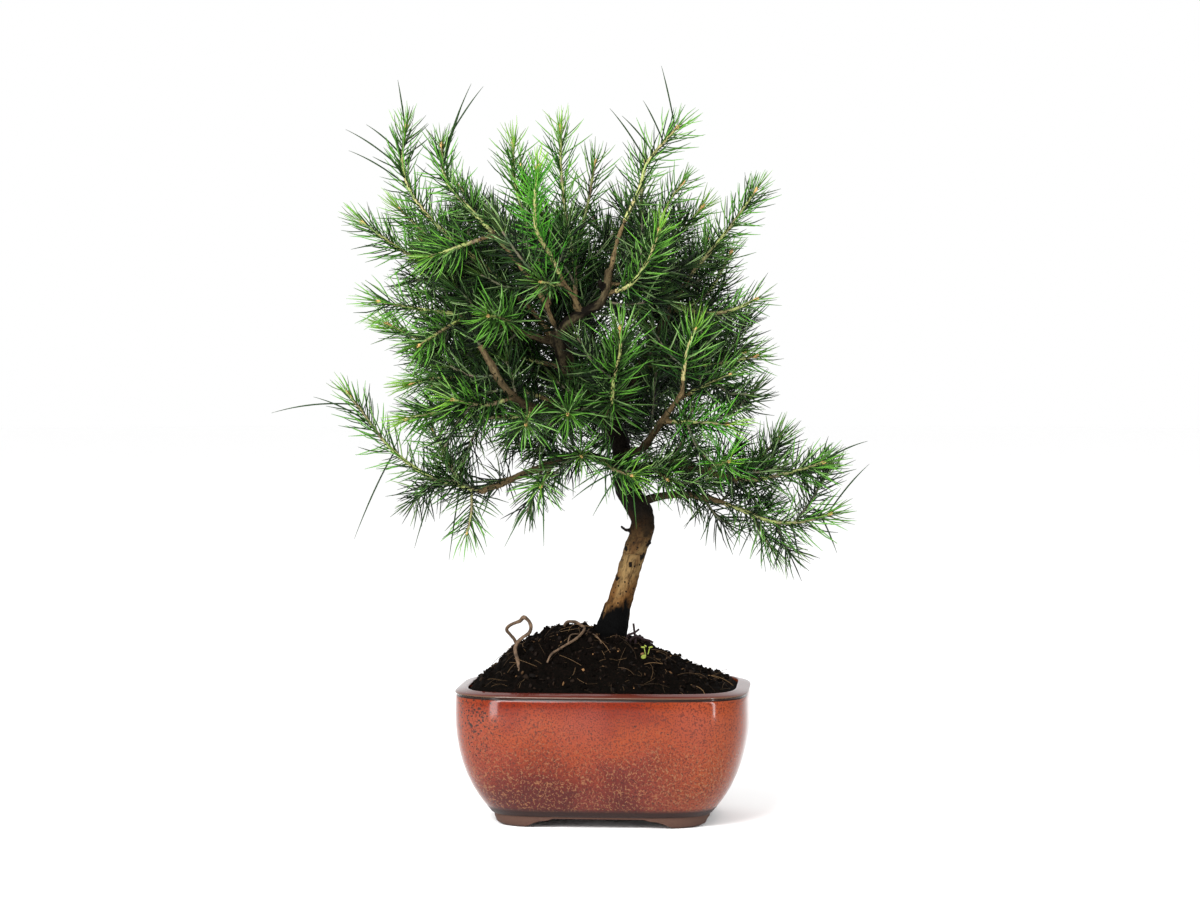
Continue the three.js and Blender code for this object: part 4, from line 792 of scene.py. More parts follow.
def pot_plan_tree():
    """Geometry nodes: squeezes a round turned mesh into the pot's rounded oblong plan."""
    tree, add = new_tree("Oblong pot plan", {
        "Length to width": 1.0,
        "Corner power": 2.0,
        "Corner crowding": 0.0,
        "Middle": (0, 0, 0),
        "Material": None,
    })
    given = add("NodeGroupInput").outputs
    place = add("GeometryNodeInputPosition").outputs[0]
    x, y, z = add("ShaderNodeSeparateXYZ", {0: place}).outputs
    even = add("ShaderNodeMath", {0: y, 1: x}, operation="ARCTAN2").outputs[0]
    four = add("ShaderNodeMath", {0: even, 1: 4.0}, operation="MULTIPLY").outputs[0]
    wave = add("ShaderNodeMath", {0: four}, operation="SINE").outputs[0]
    angle = add("ShaderNodeMath", {0: wave, 1: given["Corner crowding"], 2: even},
                operation="MULTIPLY_ADD").outputs[0]
    cosine = add("ShaderNodeMath", {0: angle}, operation="COSINE").outputs[0]
    sine = add("ShaderNodeMath", {0: angle}, operation="SINE").outputs[0]
    wide_sine = add("ShaderNodeMath", {0: sine, 1: given["Length to width"]},
                    operation="MULTIPLY").outputs[0]
    powers = []
    for part in (cosine, wide_sine):
        size = add("ShaderNodeMath", {0: part}, operation="ABSOLUTE").outputs[0]
        powers.append(add("ShaderNodeMath", {0: size, 1: given["Corner power"]},
                          operation="POWER").outputs[0])
    total = add("ShaderNodeMath", {0: powers[0], 1: powers[1]}, operation="ADD").outputs[0]
    root = add("ShaderNodeMath", {0: -1.0, 1: given["Corner power"]}, operation="DIVIDE").outputs[0]
    reach = add("ShaderNodeMath", {0: total, 1: root}, operation="POWER").outputs[0]
    flat = add("ShaderNodeCombineXYZ", {0: x, 1: y}).outputs[0]
    radius = add("ShaderNodeVectorMath", {0: flat}, operation="LENGTH").outputs["Value"]
    far = add("ShaderNodeMath", {0: radius, 1: reach}, operation="MULTIPLY").outputs[0]
    new_x = add("ShaderNodeMath", {0: far, 1: cosine}, operation="MULTIPLY").outputs[0]
    new_y = add("ShaderNodeMath", {0: far, 1: sine}, operation="MULTIPLY").outputs[0]
    plan = add("ShaderNodeCombineXYZ", {0: new_x, 1: new_y, 2: z}).outputs[0]
    moved = add("ShaderNodeVectorMath", {0: plan, 1: given["Middle"]}, operation="ADD").outputs[0]
    shaped = add("GeometryNodeSetPosition", {"Geometry": given["Geometry"], "Position": moved})
    end_tree(add, shaped.outputs[0], given["Material"])
    return tree


def pot_plan_inputs(material):
    """The plan's named inputs for this pot."""
    return {
        "Length to width": POT_HALF_LENGTH / POT_HALF_WIDTH,
        "Corner power": CORNER_POWER,
        "Corner crowding": CORNER_CROWDING,
        "Middle": tuple(POT_MIDDLE),
        "Material": material,
    }


def glaze_material(pot):
    """Glossy stoneware glaze, fired in reduction: copper orange at the top, brick red below with
    pink bloom, amber where it runs thin at mid height and as a painted glow at the corners, finely
    speckled, with short worm-like tan flecks low down and burst bubbles, most on one corner. A painted
    highlight runs along the rim's edge, with painted shade in the groove under it. Its lower edge is a
    thick dark hem. The feet are bare."""
    material, add, shader = new_material("Copper reduction glaze", IOR=1.46, Specular_IOR_Level=0.24)
    place = add("ShaderNodeTexCoord").outputs["Object"]
    across, _, height = add("ShaderNodeSeparateXYZ", {0: place}).outputs
    # Clouds about 30 mm wide make the colours drift: they add about 25 mm to the height
    clouds = add("ShaderNodeTexNoise", {"Vector": place, "Scale": 32.0, "Detail": 3.0})
    drift = add("ShaderNodeMath", {0: clouds.outputs[0], 1: 0.05, 2: height},
                operation="MULTIPLY_ADD").outputs[0]
    up = add("ShaderNodeMapRange", {0: drift, 1: 0.05, 2: 0.08}).outputs[0]
    # The glaze runs thin between the rim and the lower third. By the corners the amber is a painted
    # glow, where the side lights shine.
    aside = add("ShaderNodeMath", {0: across}, operation="ABSOLUTE").outputs[0]
    corner_glow = add("ShaderNodeMapRange", {0: aside, 1: 0.045, 2: 0.085, 4: 0.6}).outputs[0]
    below_rim = add("ShaderNodeMapRange", {0: drift, 1: 0.106, 2: 0.092}).outputs[0]
    over_base = add("ShaderNodeMapRange", {0: drift, 1: 0.06, 2: 0.085}).outputs[0]
    waist = 0.45
    for limit in (below_rim, over_base):
        waist = add("ShaderNodeMath", {0: waist, 1: limit}, operation="MULTIPLY").outputs[0]
    thin_glaze_and_glow = add("ShaderNodeMath", {0: waist, 1: corner_glow}, operation="MAXIMUM").outputs[0]
    veils = add("ShaderNodeTexNoise", {"Vector": place, "Scale": 21.0, "Detail": 2.0})
    veil = add("ShaderNodeMapRange", {0: veils.outputs[0], 1: 0.48, 2: 0.7, 4: 0.5}).outputs[0]
    # Dark speckle about 1 mm wide
    grain = add("ShaderNodeTexNoise", {"Vector": place, "Scale": 900.0, "Detail": 3.0, "Roughness": 0.6})
    dark = add("ShaderNodeMapRange", {0: grain.outputs[0], 1: 0.52, 2: 0.38, 4: 0.75}).outputs[0]
    # Flecks: the edges of small upright cells, distorted and broken up, over the lower half
    warp = add("ShaderNodeTexNoise", {"Vector": place, "Scale": 480.0, "Detail": 1.0})
    bent = add("ShaderNodeVectorMath", {0: warp.outputs[1], 1: (0.003,) * 3, 2: place},
               operation="MULTIPLY_ADD").outputs[0]
    hanging = add("ShaderNodeMapping", {"Vector": bent, "Scale": (1.0, 1.0, 0.6)}).outputs[0]
    cells = add("ShaderNodeTexVoronoi", {"Vector": hanging, "Scale": 1 / pot.fleck_size},
                feature="DISTANCE_TO_EDGE")
    thin = add("ShaderNodeMapRange", {0: cells.outputs[0], 1: 0.02, 2: 0.1, 3: 1.0, 4: 0.0}).outputs[0]
    low = add("ShaderNodeMapRange", {0: drift, 1: 0.096, 2: 0.062}).outputs[0]
    breaks = add("ShaderNodeTexNoise", {"Vector": place, "Scale": 520.0, "Detail": 1.0})
    broken = add("ShaderNodeMapRange", {0: breaks.outputs[0], 1: 0.47, 2: 0.56}).outputs[0]
    flecks = thin
    for limit in (low, broken, 0.7):
        flecks = add("ShaderNodeMath", {0: flecks, 1: limit}, operation="MULTIPLY").outputs[0]
    # Pits about 1 mm wide, sparse everywhere and thick on the front left corner
    corner = placed([PITTED_CORNER])[0]
    near = add("ShaderNodeVectorMath", {0: place, 1: tuple(corner)}, operation="DISTANCE").outputs[1]
    crowd = add("ShaderNodeMapRange", {0: near, 1: 0.008, 2: 0.03, 3: 0.36, 4: 0.15}).outputs[0]
    dots = add("ShaderNodeTexVoronoi", {"Vector": bent, "Scale": 430.0})
    pits = add("ShaderNodeMath", {0: dots.outputs[0], 1: crowd}, operation="LESS_THAN").outputs[0]
    # The rim's glaze, a painted highlight along its edge, and painted shade in the groove under it
    rim, edge, line = (add("ShaderNodeAttribute", attribute_name=zone).outputs["Fac"]
                       for zone in ("rim", "rim_edge", "dark_line"))
    hem_top = (HEM_HEIGHT + HEM_WIDTH) * MM
    hem = add("ShaderNodeMapRange", {0: height, 1: hem_top, 2: HEM_HEIGHT * MM}).outputs[0]
    body = painted(
        add, pot.brick, (up, pot.copper), (thin_glaze_and_glow, pot.amber), (veil, pot.blush), (dark, pot.speck),
        (flecks, pot.fleck), (pits, pot.pit_and_groove_shade), (rim, pot.rim), (edge, pot.rim_edge), (line, pot.pit_and_groove_shade),
        (hem, pot.hem))
    feed(shader, "Base Color", body)
    gloss = add("ShaderNodeMix", {0: hem, 2: 0.1, 3: 0.5}, data_type="FLOAT").outputs[0]
    feed(shader, "Roughness", gloss)
    relief = add("ShaderNodeMath", {0: flecks, 1: pits}, operation="SUBTRACT").outputs[0]
    bump = add("ShaderNodeBump", {"Height": relief, "Strength": 0.25, "Distance": 0.0003})
    feed(shader, "Normal", bump.outputs[0])
    return material


def clay_material(pot):
    """Unglazed stoneware: dark brown, dry and a little gritty where it stood in the kiln."""
    material, add, shader = new_material("Bare stoneware", Roughness=0.75, Specular_IOR_Level=0.2)
    place = add("ShaderNodeTexCoord").outputs["Object"]
    grit = add("ShaderNodeTexNoise", {"Vector": place, "Scale": 700.0, "Detail": 5.0})
    pale = add("ShaderNodeMapRange", {0: grit.outputs[0], 1: 0.35, 2: 0.75, 4: 0.55}).outputs[0]
    feed(shader, "Base Color", painted(add, pot.clay, (pale, pot.rim_edge)))
    bump = add("ShaderNodeBump", {"Height": grit.outputs[0], "Strength": 0.3, "Distance": 0.0004})
    feed(shader, "Normal", bump.outputs[0])
    return material


class BONSAI_OT_pot(bpy.types.Operator):
    """Builds the glazed body of the pot and its four bare feet."""

    bl_idname = "bonsai.pot"
    bl_label = "Pot"

    def execute(self, context):
        pot = context.scene.bonsai_pot
        profile = [point for points in POT_SECTION.values() for point in points]
        mesh = turned_mesh("pot profile", profile, POT_SIDES)
        for zone in ("dark_line", "rim_edge", "rim"):
            marks = []
            for reach, height in profile:
                marks.extend([(reach, height) in POT_SECTION[zone]] * (POT_SIDES if reach > 0 else 1))
            mesh.attributes.new(zone, "FLOAT", "POINT").data.foreach_set("value", marks)
        tree = pot_plan_tree()
        body = grown("pot_body", mesh, tree, pot_plan_inputs(glaze_material(pot)))
        self.drill(body)
        finished(body, "glaze", "pot")
        body.data.set_sharp_from_angle(angle=CREASE_ANGLE)
        feet_mesh = turned_mesh("feet profile", [*FOOT_PROFILE, FOOT_PROFILE[0]], POT_SIDES * 2)
        feet = grown("pot_feet", feet_mesh, tree, pot_plan_inputs(clay_material(pot)))
        self.open_arches(feet)
        finished(feet, "glaze", "pot")
        feet.data.set_sharp_from_angle(angle=CREASE_ANGLE)
        return {"FINISHED"}

    @staticmethod
    def drill(body):
        """Cuts the two drain holes through the floor."""
        profile = [(0, DRAIN_LOW), (DRAIN_RADIUS, DRAIN_LOW), (DRAIN_RADIUS, DRAIN_HIGH), (0, DRAIN_HIGH)]
        for offset in (-DRAIN_OFFSET, DRAIN_OFFSET):
            cutter = linked("drain", turned_mesh("drain", profile, DRAIN_SIDES))
            cutter.data.transform(Matrix.Translation(Vector(POT_MIDDLE) + Vector((offset * MM, 0, 0))))
            cut = body.modifiers.new("drain", "BOOLEAN")
            cut.object = cutter
            cut.operation = "DIFFERENCE"
            applied(body)
            bpy.data.objects.remove(cutter)

    @staticmethod
    def open_arches(feet):
        """Raises the underside between the feet, in an S curve down to each foot."""
        corners = vectors_of(feet.data.vertices, "co")
        plan = np.abs(corners[:, :2] - POT_MIDDLE[:2]) / MM
        front = arch_height(plan[:, 0], *FRONT_ARCH)
        side = arch_height(plan[:, 1], *SIDE_ARCH)
        lowest = np.maximum(front, side) * MM
        corners[:, 2] = np.maximum(corners[:, 2], lowest)
        feet.data.vertices.foreach_set("co", corners.ravel())
        feet.data.update()


def arch_height(offset, half_foot, half_top):
    """The height of an opening between two feet at a distance from its middle."""
    middle = (half_foot + half_top) / 2
    places = [half_top, half_top + 4, middle - 1, middle + 1, middle + 4, half_foot]
    return np.interp(offset, places, np.multiply(ARCH_CURVE, ARCH_HEIGHT))


def peat_material(soil):
    """Wet black peat with brown crumbs: almost no gloss, a rough crumbly skin."""
    material, add, shader = new_material("Black peat", Roughness=0.95, Specular_IOR_Level=0.03)
    place = add("ShaderNodeTexCoord").outputs["Object"]
    # Crumbs about 1.5 mm wide
    crumbs = add("ShaderNodeTexNoise", {"Vector": place, "Scale": 620.0, "Detail": 5.0, "Roughness": 0.7})
    dry = add("ShaderNodeMapRange", {0: crumbs.outputs[0], 1: 0.5, 2: 0.72}).outputs[0]
    feed(shader, "Base Color", painted(add, soil.peat, (dry, soil.brown_peat)))
    bump = add("ShaderNodeBump", {"Height": crumbs.outputs[0], "Strength": 0.8, "Distance": 0.0012})
    feed(shader, "Normal", bump.outputs[0])
    return material


def litter_material(name, colour, roughness):
    """Dry plant litter, such as root fibres and bark chips: matt, each piece a little different."""
    material, add, shader = new_material(name, Specular_IOR_Level=0.1, Roughness=roughness)
    tint = add("ShaderNodeAttribute", attribute_name="tint").outputs["Fac"]
    clean = add("ShaderNodeMath", {0: tint, 1: 2.5}, operation="POWER").outputs[0]
    soiled = [value * 0.16 for value in colour]
    feed(shader, "Base Color", painted(add, soiled, (clean, colour)))
    return material


def mound_mesh(lump_height):
    """The soil as one closed body: a lumpy mound over walls that follow the pot's inside."""
    angles = np.arange(SOIL_SIDES) * 2 * math.pi / SOIL_SIDES
    angles = angles + CORNER_CROWDING * np.sin(4 * angles)
    reach = plan_reach(angles)
    corners, rings = [], []
    for share in np.linspace(0, 1, SOIL_RINGS + 1)[1:]:
        x = np.cos(angles) * reach * share * SOIL_EDGE
        y = np.sin(angles) * reach * share * SOIL_EDGE
        height = soil_height(x, y)
        fade = min(1, (1 - share) * LUMP_FADE)
        rough = np.array([lump(px, py, lump_height / MM) for px, py in zip(x, y)])
        rings.append(range(len(corners), len(corners) + SOIL_SIDES))
        corners.extend(zip(x, y, height + rough * fade))
    for edge, height in SOIL_WALL:
        rings.append(range(len(corners), len(corners) + SOIL_SIDES))
        x, y = np.cos(angles) * reach * edge, np.sin(angles) * reach * edge
        corners.extend(zip(x, y, [height] * SOIL_SIDES))
    faces = []
    for inner, outer in zip(rings, rings[1:]):
        for i in range(SOIL_SIDES):
            j = (i + 1) % SOIL_SIDES
            faces.append((inner[i], outer[i], outer[j], inner[j]))
    top = len(corners)
    corners.append((0, 0, float(soil_height(0, 0)) + lump(0, 0, lump_height / MM)))
    faces.extend((top, rings[0][i], rings[0][(i + 1) % SOIL_SIDES]) for i in range(SOIL_SIDES))
    bottom = len(corners)
    corners.append((0, 0, SOIL_WALL[-1][1]))
    last = rings[-1]
    faces.extend((bottom, last[(i + 1) % SOIL_SIDES], last[i]) for i in range(SOIL_SIDES))
    mesh = bpy.data.meshes.new("mound")
    mesh.from_pydata((np.array(corners) * MM + POT_MIDDLE).tolist(), [], faces)
    open_rings = [1.0] * (SOIL_RINGS - BARE_RINGS) + [0.0] * (BARE_RINGS + len(SOIL_WALL))
    marks = [*np.repeat(open_rings, SOIL_SIDES), 1.0, 0.0]
    mesh.attributes.new("open_top", "FLOAT", "POINT").data.foreach_set("value", marks)
    return mesh


def lump(x, y, height):
    """The unevenness of the mound at a point in millimetres: lumps, clods and crumbs."""
    place = Vector((x, y, LUMP_SEED))
    return height * sum(share * noise.noise(place / width) for width, share in LUMPS)


def scatter_tree(name, kinds):
    """Geometry nodes: strews copies of some small shapes over a surface. kinds adds the shapes."""
    tree, add = new_tree(name, {
        "Density": 1000.0,
        "Smallest": 0.5,
        "Largest": 1.0,
        "Size": 0.003,
        "Tilt": 3.1,
        "Seed": 0,
        "Material": None,
    })
    given = add("NodeGroupInput").outputs
    open_top = add("GeometryNodeInputNamedAttribute", {"Name": "open_top"}, data_type="FLOAT").outputs[0]
    strewn = add("GeometryNodeDistributePointsOnFaces", {
        "Mesh": given["Geometry"], "Selection": open_top, "Density": given["Density"],
        "Seed": given["Seed"]})
    # What each copy draws, and between which values
    back = add("ShaderNodeMath", {0: given["Tilt"], 1: -1.0}, operation="MULTIPLY").outputs[0]
    tilts, sizes = (back, given["Tilt"]), (given["Smallest"], given["Largest"])
    ranges = ((0.0, FULL_TURN), tilts, tilts, sizes, (0.0, 1.0))
    flat_turn, tilt_x, tilt_y, share, tint = (
        add("FunctionNodeRandomValue", {2: least, 3: most, "Seed": seed}, data_type="FLOAT").outputs[1]
        for seed, (least, most) in enumerate(ranges, 1))
    points = add("GeometryNodeStoreNamedAttribute", {
        "Geometry": strewn.outputs[0], "Name": "tint", "Value": tint}, data_type="FLOAT").outputs[0]
    shapes = add("GeometryNodeJoinGeometry")
    for shape in kinds(add):
        single = add("GeometryNodeGeometryToInstance", {0: shape})
        feed(shapes, 0, single.outputs[0])
    euler = add("ShaderNodeCombineXYZ", {0: tilt_x, 1: tilt_y, 2: flat_turn}).outputs[0]
    spin = add("FunctionNodeEulerToRotation", {0: euler}).outputs[0]
    turn = add("FunctionNodeRotateRotation", {0: strewn.outputs["Rotation"], 1: spin},
               rotation_space="LOCAL").outputs[0]
    size = add("ShaderNodeMath", {0: share, 1: given["Size"]}, operation="MULTIPLY").outputs[0]
    # One of the three shapes for each copy
    pick = add("FunctionNodeRandomValue", {4: 0, 5: 2, "Seed": 6}, data_type="INT").outputs[2]
    copies = add("GeometryNodeInstanceOnPoints", {
        "Points": points, "Instance": shapes.outputs[0], "Pick Instance": True, "Instance Index": pick,
        "Rotation": turn, "Scale": size})
    end_tree(add, copies.outputs[0], given["Material"])
    return tree


def clod_shapes(add):
    """Three uneven clods, one unit wide."""
    for step, (fineness, flatness) in enumerate(((2, 0.9), (1, 0.7), (2, 0.5))):
        ball = add("GeometryNodeMeshIcoSphere", {"Radius": 0.5, "Subdivisions": fineness})
        place = add("GeometryNodeInputPosition").outputs[0]
        apart = add("ShaderNodeVectorMath", {0: place, 1: (7.0 * step, 3.0, 1.0)},
                    operation="ADD").outputs[0]
        rough = add("ShaderNodeTexNoise", {"Vector": apart, "Scale": 2.6, "Detail": 2.0})
        swell = add("ShaderNodeMapRange", {0: rough.outputs[0], 1: 0.3, 2: 0.7, 3: 0.55, 4: 1.35},
                    clamp=False).outputs[0]
        grown_place = add("ShaderNodeVectorMath", {0: place, "Scale": swell}, operation="SCALE").outputs[0]
        squashed = add("ShaderNodeVectorMath", {0: grown_place, 1: (1.0, 0.85, flatness)},
                       operation="MULTIPLY").outputs[0]
        yield add("GeometryNodeSetPosition", {"Geometry": ball.outputs[0], "Position": squashed}).outputs[0]


def chip_shapes(add):
    """Three flat angular chips, one unit long."""
    for step, (wide, thick) in enumerate(((0.6, 0.22), (0.4, 0.3), (0.75, 0.35))):
        ball = add("GeometryNodeMeshIcoSphere", {"Radius": 0.5, "Subdivisions": 1})
        place = add("GeometryNodeInputPosition").outputs[0]
        apart = add("ShaderNodeVectorMath", {0: place, 1: (5.0 * step, 9.0, 2.0)},
                    operation="ADD").outputs[0]
        rough = add("ShaderNodeTexNoise", {"Vector": apart, "Scale": 3.4, "Detail": 0.0})
        shifted = add("ShaderNodeVectorMath", {0: rough.outputs[1], 1: (0.5,) * 3, 2: place},
                      operation="MULTIPLY_ADD").outputs[0]
        squashed = add("ShaderNodeVectorMath", {0: shifted, 1: (1.0, wide, thick)},
                       operation="MULTIPLY").outputs[0]
        yield add("GeometryNodeSetPosition", {"Geometry": ball.outputs[0], "Position": squashed}).outputs[0]


def fibre_shapes(add):
    """Three bent threads, one unit long, that rise a little from the ground."""
    profile = add("GeometryNodeCurvePrimitiveCircle", {"Resolution": 3, "Radius": 0.009}).outputs[0]
    for bend, rise in ((0.4, 0.09), (-0.24, 0.05), (0.1, 0.16)):
        thread = add("GeometryNodeCurveQuadraticBezier", {
            "Resolution": 6, "Start": (-0.5, 0.0, -0.04), "Middle": (0.0, bend, rise),
            "End": (0.5, 0.0, -0.04)})
        yield add("GeometryNodeCurveToMesh", {
            "Curve": thread.outputs[0], "Profile Curve": profile, "Fill Caps": True}).outputs[0]


class BONSAI_OT_soil(bpy.types.Operator):
    """Builds the mound of peat and what is strewn over it."""

    bl_idname = "bonsai.soil"
    bl_label = "Soil"

    def execute(self, context):
        soil = context.scene.bonsai_soil
        mesh = mound_mesh(soil.lump_height)
        peat = peat_material(soil)
        mound = linked("peat_mound", mesh)
        mound.data.materials.append(peat)
        finished(mound, "peat", "soil")
        # Name, shapes, material, copies per square metre, size of the largest
        rows = [
            ("peat_clods", clod_shapes, peat, soil.clod_density, soil.clod_size),
            ("bark_chips", chip_shapes, litter_material("Dry bark chips", soil.chip, 0.8),
             soil.chip_density, soil.chip_size),
            ("peat_splinters", chip_shapes,
             litter_material("Half-rotted wood splinters", soil.splinter, 0.9),
             soil.splinter_density, soil.splinter_size),
            ("root_fibres", fibre_shapes, litter_material("Dry root fibres", soil.fibre, 0.75),
             soil.fibre_density, soil.fibre_length),
        ]
        for name, shapes, material, density, size in rows:
            smallest, tilt, seed = STREWN[name]
            strewn = grown(name, mesh.copy(), scatter_tree(name, shapes), {
                "Density": density, "Size": size, "Smallest": smallest, "Tilt": tilt, "Seed": seed,
                "Material": material})
            finished(strewn, "peat")
        return {"FINISHED"}


def limb_tree():
    """Geometry nodes: a round tube along each line, as thick as the line says."""
    tree, add = new_tree("Limbs", {
        "Sides": 12,
        "Material": None,
    })
    given = add("NodeGroupInput").outputs
    lines = add("GeometryNodeMeshToCurve", {"Mesh": given["Geometry"]}).outputs[0]
    ring = add("GeometryNodeCurvePrimitiveCircle", {"Resolution": given["Sides"], "Radius": 1.0})
    thickness = add("GeometryNodeInputNamedAttribute", {"Name": "thickness"}, data_type="FLOAT")
    tubes = add("GeometryNodeCurveToMesh", {
        "Curve": lines, "Profile Curve": ring.outputs[0], "Scale": thickness.outputs[0], "Fill Caps": True})
    end_tree(add, tubes.outputs[0], given["Material"])
    return tree


def bark_material(wood):
    """Thin young pine bark: grey-tan, cracked along the limb, with dark specks, black with wet soil
    at the foot, darker on the trunk and branches inside the crown, partly dark bark and partly painted
    shade, and tan on the twigs. It is matt."""
    material, add, shader = new_material("Young pine bark", Roughness=0.86, Specular_IOR_Level=0.04)
    place = add("ShaderNodeTexCoord").outputs["Object"]
    height = add("ShaderNodeSeparateXYZ", {0: place}).outputs[2]
    limb = add("ShaderNodeAttribute", attribute_name="limb_place").outputs["Vector"]
    youth = add("ShaderNodeAttribute", attribute_name="youth").outputs["Fac"]
    # Soft bands of tone some 10 mm wide, drawn out along the limb
    drawn = add("ShaderNodeMapping", {"Vector": limb, "Scale": (1.0, 1.0, 0.35)}).outputs[0]
    tones = add("ShaderNodeTexNoise", {"Vector": drawn, "Scale": 110.0, "Detail": 5.0, "Roughness": 0.6})
    pale = add("ShaderNodeMapRange", {0: tones.outputs[0], 1: 0.42, 2: 0.6}).outputs[0]
    # Shallow cracks and specks of old resin, 1 to 2 mm wide
    cracks = add("ShaderNodeTexNoise", {"Vector": drawn, "Scale": 520.0, "Detail": 4.0, "Roughness": 0.75})
    crack = add("ShaderNodeMapRange", {0: cracks.outputs[0], 1: 0.52, 2: 0.38, 4: 0.65}).outputs[0]
    specks = add("ShaderNodeTexVoronoi", {"Vector": place, "Scale": 260.0})
    speck = add("ShaderNodeMath", {0: specks.outputs[0], 1: 0.17}, operation="LESS_THAN").outputs[0]
    marks = add("ShaderNodeMath", {0: crack, 1: speck}, operation="MAXIMUM").outputs[0]
    # Warm tan just over the soil, dark brown at the elbow, and above it, in the crown, darker bark with
    # painted shade
    ragged = add("ShaderNodeMath", {0: tones.outputs[0], 1: 0.04, 2: height},
                 operation="MULTIPLY_ADD").outputs[0]
    warm = add("ShaderNodeMapRange", {0: ragged, 1: 0.19, 2: 0.165, 4: 0.6}).outputs[0]
    elbow = add("ShaderNodeMapRange", {0: ragged, 1: 0.197, 2: 0.216, 4: 0.93}).outputs[0]
    # Inside the crown: painted shade of the needles, over darker bark
    in_crown = add("ShaderNodeMapRange", {0: ragged, 1: 0.214, 2: 0.23}).outputs[0]
    high = add("ShaderNodeMapRange", {0: height, 1: 0.265, 2: 0.3}).outputs[0]
    scaly = add("ShaderNodeMath", {0: pale, 1: high}, operation="MULTIPLY").outputs[0]
    shaded = painted(add, wood.dark_bark, (scaly, wood.crown_bark))
    # Dead stubs are dark, and wet soil clings to the foot up to a ragged edge
    dead = add("ShaderNodeMath", {0: youth, 1: -0.5}, operation="LESS_THAN").outputs[0]
    wet = add("ShaderNodeMapRange", {0: ragged, 1: 0.1665, 2: 0.1585}).outputs[0]
    colour = painted(
        add, wood.bark, (pale, wood.pale_bark), (warm, wood.warm_bark), (elbow, wood.elbow_bark),
        (in_crown, shaded), (youth, wood.twig), (marks, wood.dark_bark), (dead, wood.dark_bark),
        (wet, wood.stain))
    feed(shader, "Base Color", colour)
    relief = add("ShaderNodeMath", {0: cracks.outputs[0], 1: marks}, operation="SUBTRACT").outputs[0]
    bump = add("ShaderNodeBump", {"Height": relief, "Strength": 0.6, "Distance": 0.0005})
    feed(shader, "Normal", bump.outputs[0])
    return material


def dry_wood_material(name, colour, dark_end):
    """Dry root or dead twig: matt skin with fine lengthwise wrinkles, darker in patches."""
    material, add, shader = new_material(name, Roughness=0.78, Specular_IOR_Level=0.15)
    place = add("ShaderNodeTexCoord").outputs["Object"]
    skin = add("ShaderNodeTexNoise", {"Vector": place, "Scale": 260.0, "Detail": 5.0})
    shade = add("ShaderNodeMapRange", {0: skin.outputs[0], 1: 0.42, 2: 0.68}).outputs[0]
    dark = [value * dark_end for value in colour]
    feed(shader, "Base Color", painted(add, colour, (shade, dark)))
    bump = add("ShaderNodeBump", {"Height": skin.outputs[0], "Strength": 0.5, "Distance": 0.0005})
    feed(shader, "Normal", bump.outputs[0])
    return material


def wood_lines():
    """Every limb, stub and bare start of a shoot, as lines for the limb tree. Thin dead ones are last."""
    lines = []
    for _, start_radius, end_radius, points, _ in LIMBS:
        path = stretch(points, LIMB_STEP)
        lines.append((placed(path), tapering(path, start_radius, end_radius), False))
    for _, bare, _, _, points, _, _ in SHOOTS:
        path = stretch(points, LIMB_STEP, 0, bare + STEM_OVERLAP)
        lines.append((placed(path), tapering(path, BARE_RADIUS, STEM_RADIUS), False))
    for radius, points in STUBS:
        path = stretch(points, STUB_STEP)
        lines.append((placed(path), tapering(path, radius, radius * STUB_TAPER), False))
    return lines


def mark_limb_places(mesh, lines):
    """Stores each corner's place in the frame of the limb whose skin is nearest, and its youth."""
    seats, radii, frames, lengths, ages = [], [], [], [], []
    for order, (points, thickness, _) in enumerate(lines):
        is_dead = order >= len(lines) - len(STUBS)
        along = path_length(points)
        # Any way but along the limb will do at first: each point carries it on, without a twist
        across = Vector((0, 1, 0.3))
        for i, point in enumerate(points):
            ahead = Vector(points[min(i + 1, len(points) - 1)] - points[max(i - 1, 0)]).normalized()
            across = (across - ahead * across.dot(ahead)).normalized()
            frames.append((across.copy(), across.cross(ahead), ahead))
            seats.append(point)
            lengths.append(along[i])
            radii.append(thickness[i])
            ages.append(-1 if is_dead else np.interp(thickness[i], TWIG_RADII, (1, 0)))
    seats, radii, frames, lengths, ages = (np.array(rows) for rows in (seats, radii, frames, lengths, ages))
    places, youth = [], []
    for corners in np.array_split(vectors_of(mesh.vertices, "co"), SEARCH_GROUPS):
        gaps = np.linalg.norm(corners[:, None] - seats, axis=2) - radii
        nearest = gaps.argmin(axis=1)
        offsets = np.einsum("nij,nj->ni", frames[nearest], corners - seats[nearest])
        offsets[:, 2] += lengths[nearest]
        places.append(offsets)
        youth.append(ages[nearest])
    places = np.concatenate(places)
    youth = np.concatenate(youth)
    mesh.attributes.new("limb_place", "FLOAT_VECTOR", "POINT").data.foreach_set("vector", places.ravel())
    mesh.attributes.new("youth", "FLOAT", "POINT").data.foreach_set("value", youth)


def vectors_of(rows, name):
    """A vector property of all the mesh's corners or faces, as an array of rows."""
    values = np.empty(len(rows) * 3)
    rows.foreach_get(name, values)
    return values.reshape(-1, 3)


def roughen(mesh, height, width):
    """Moves a mesh's corners along their normals, by noise of some width and height in metres."""
    corners = vectors_of(mesh.vertices, "co")
    normals = vectors_of(mesh.vertices, "normal")
    swell = np.array([
        sum(share * noise.noise(Vector(corner) / (width * times)) for times, share in SKIN_NOISE)
        for corner in corners])
    mesh.vertices.foreach_set("co", (corners + normals * swell[:, None] * height).ravel())
    mesh.update()


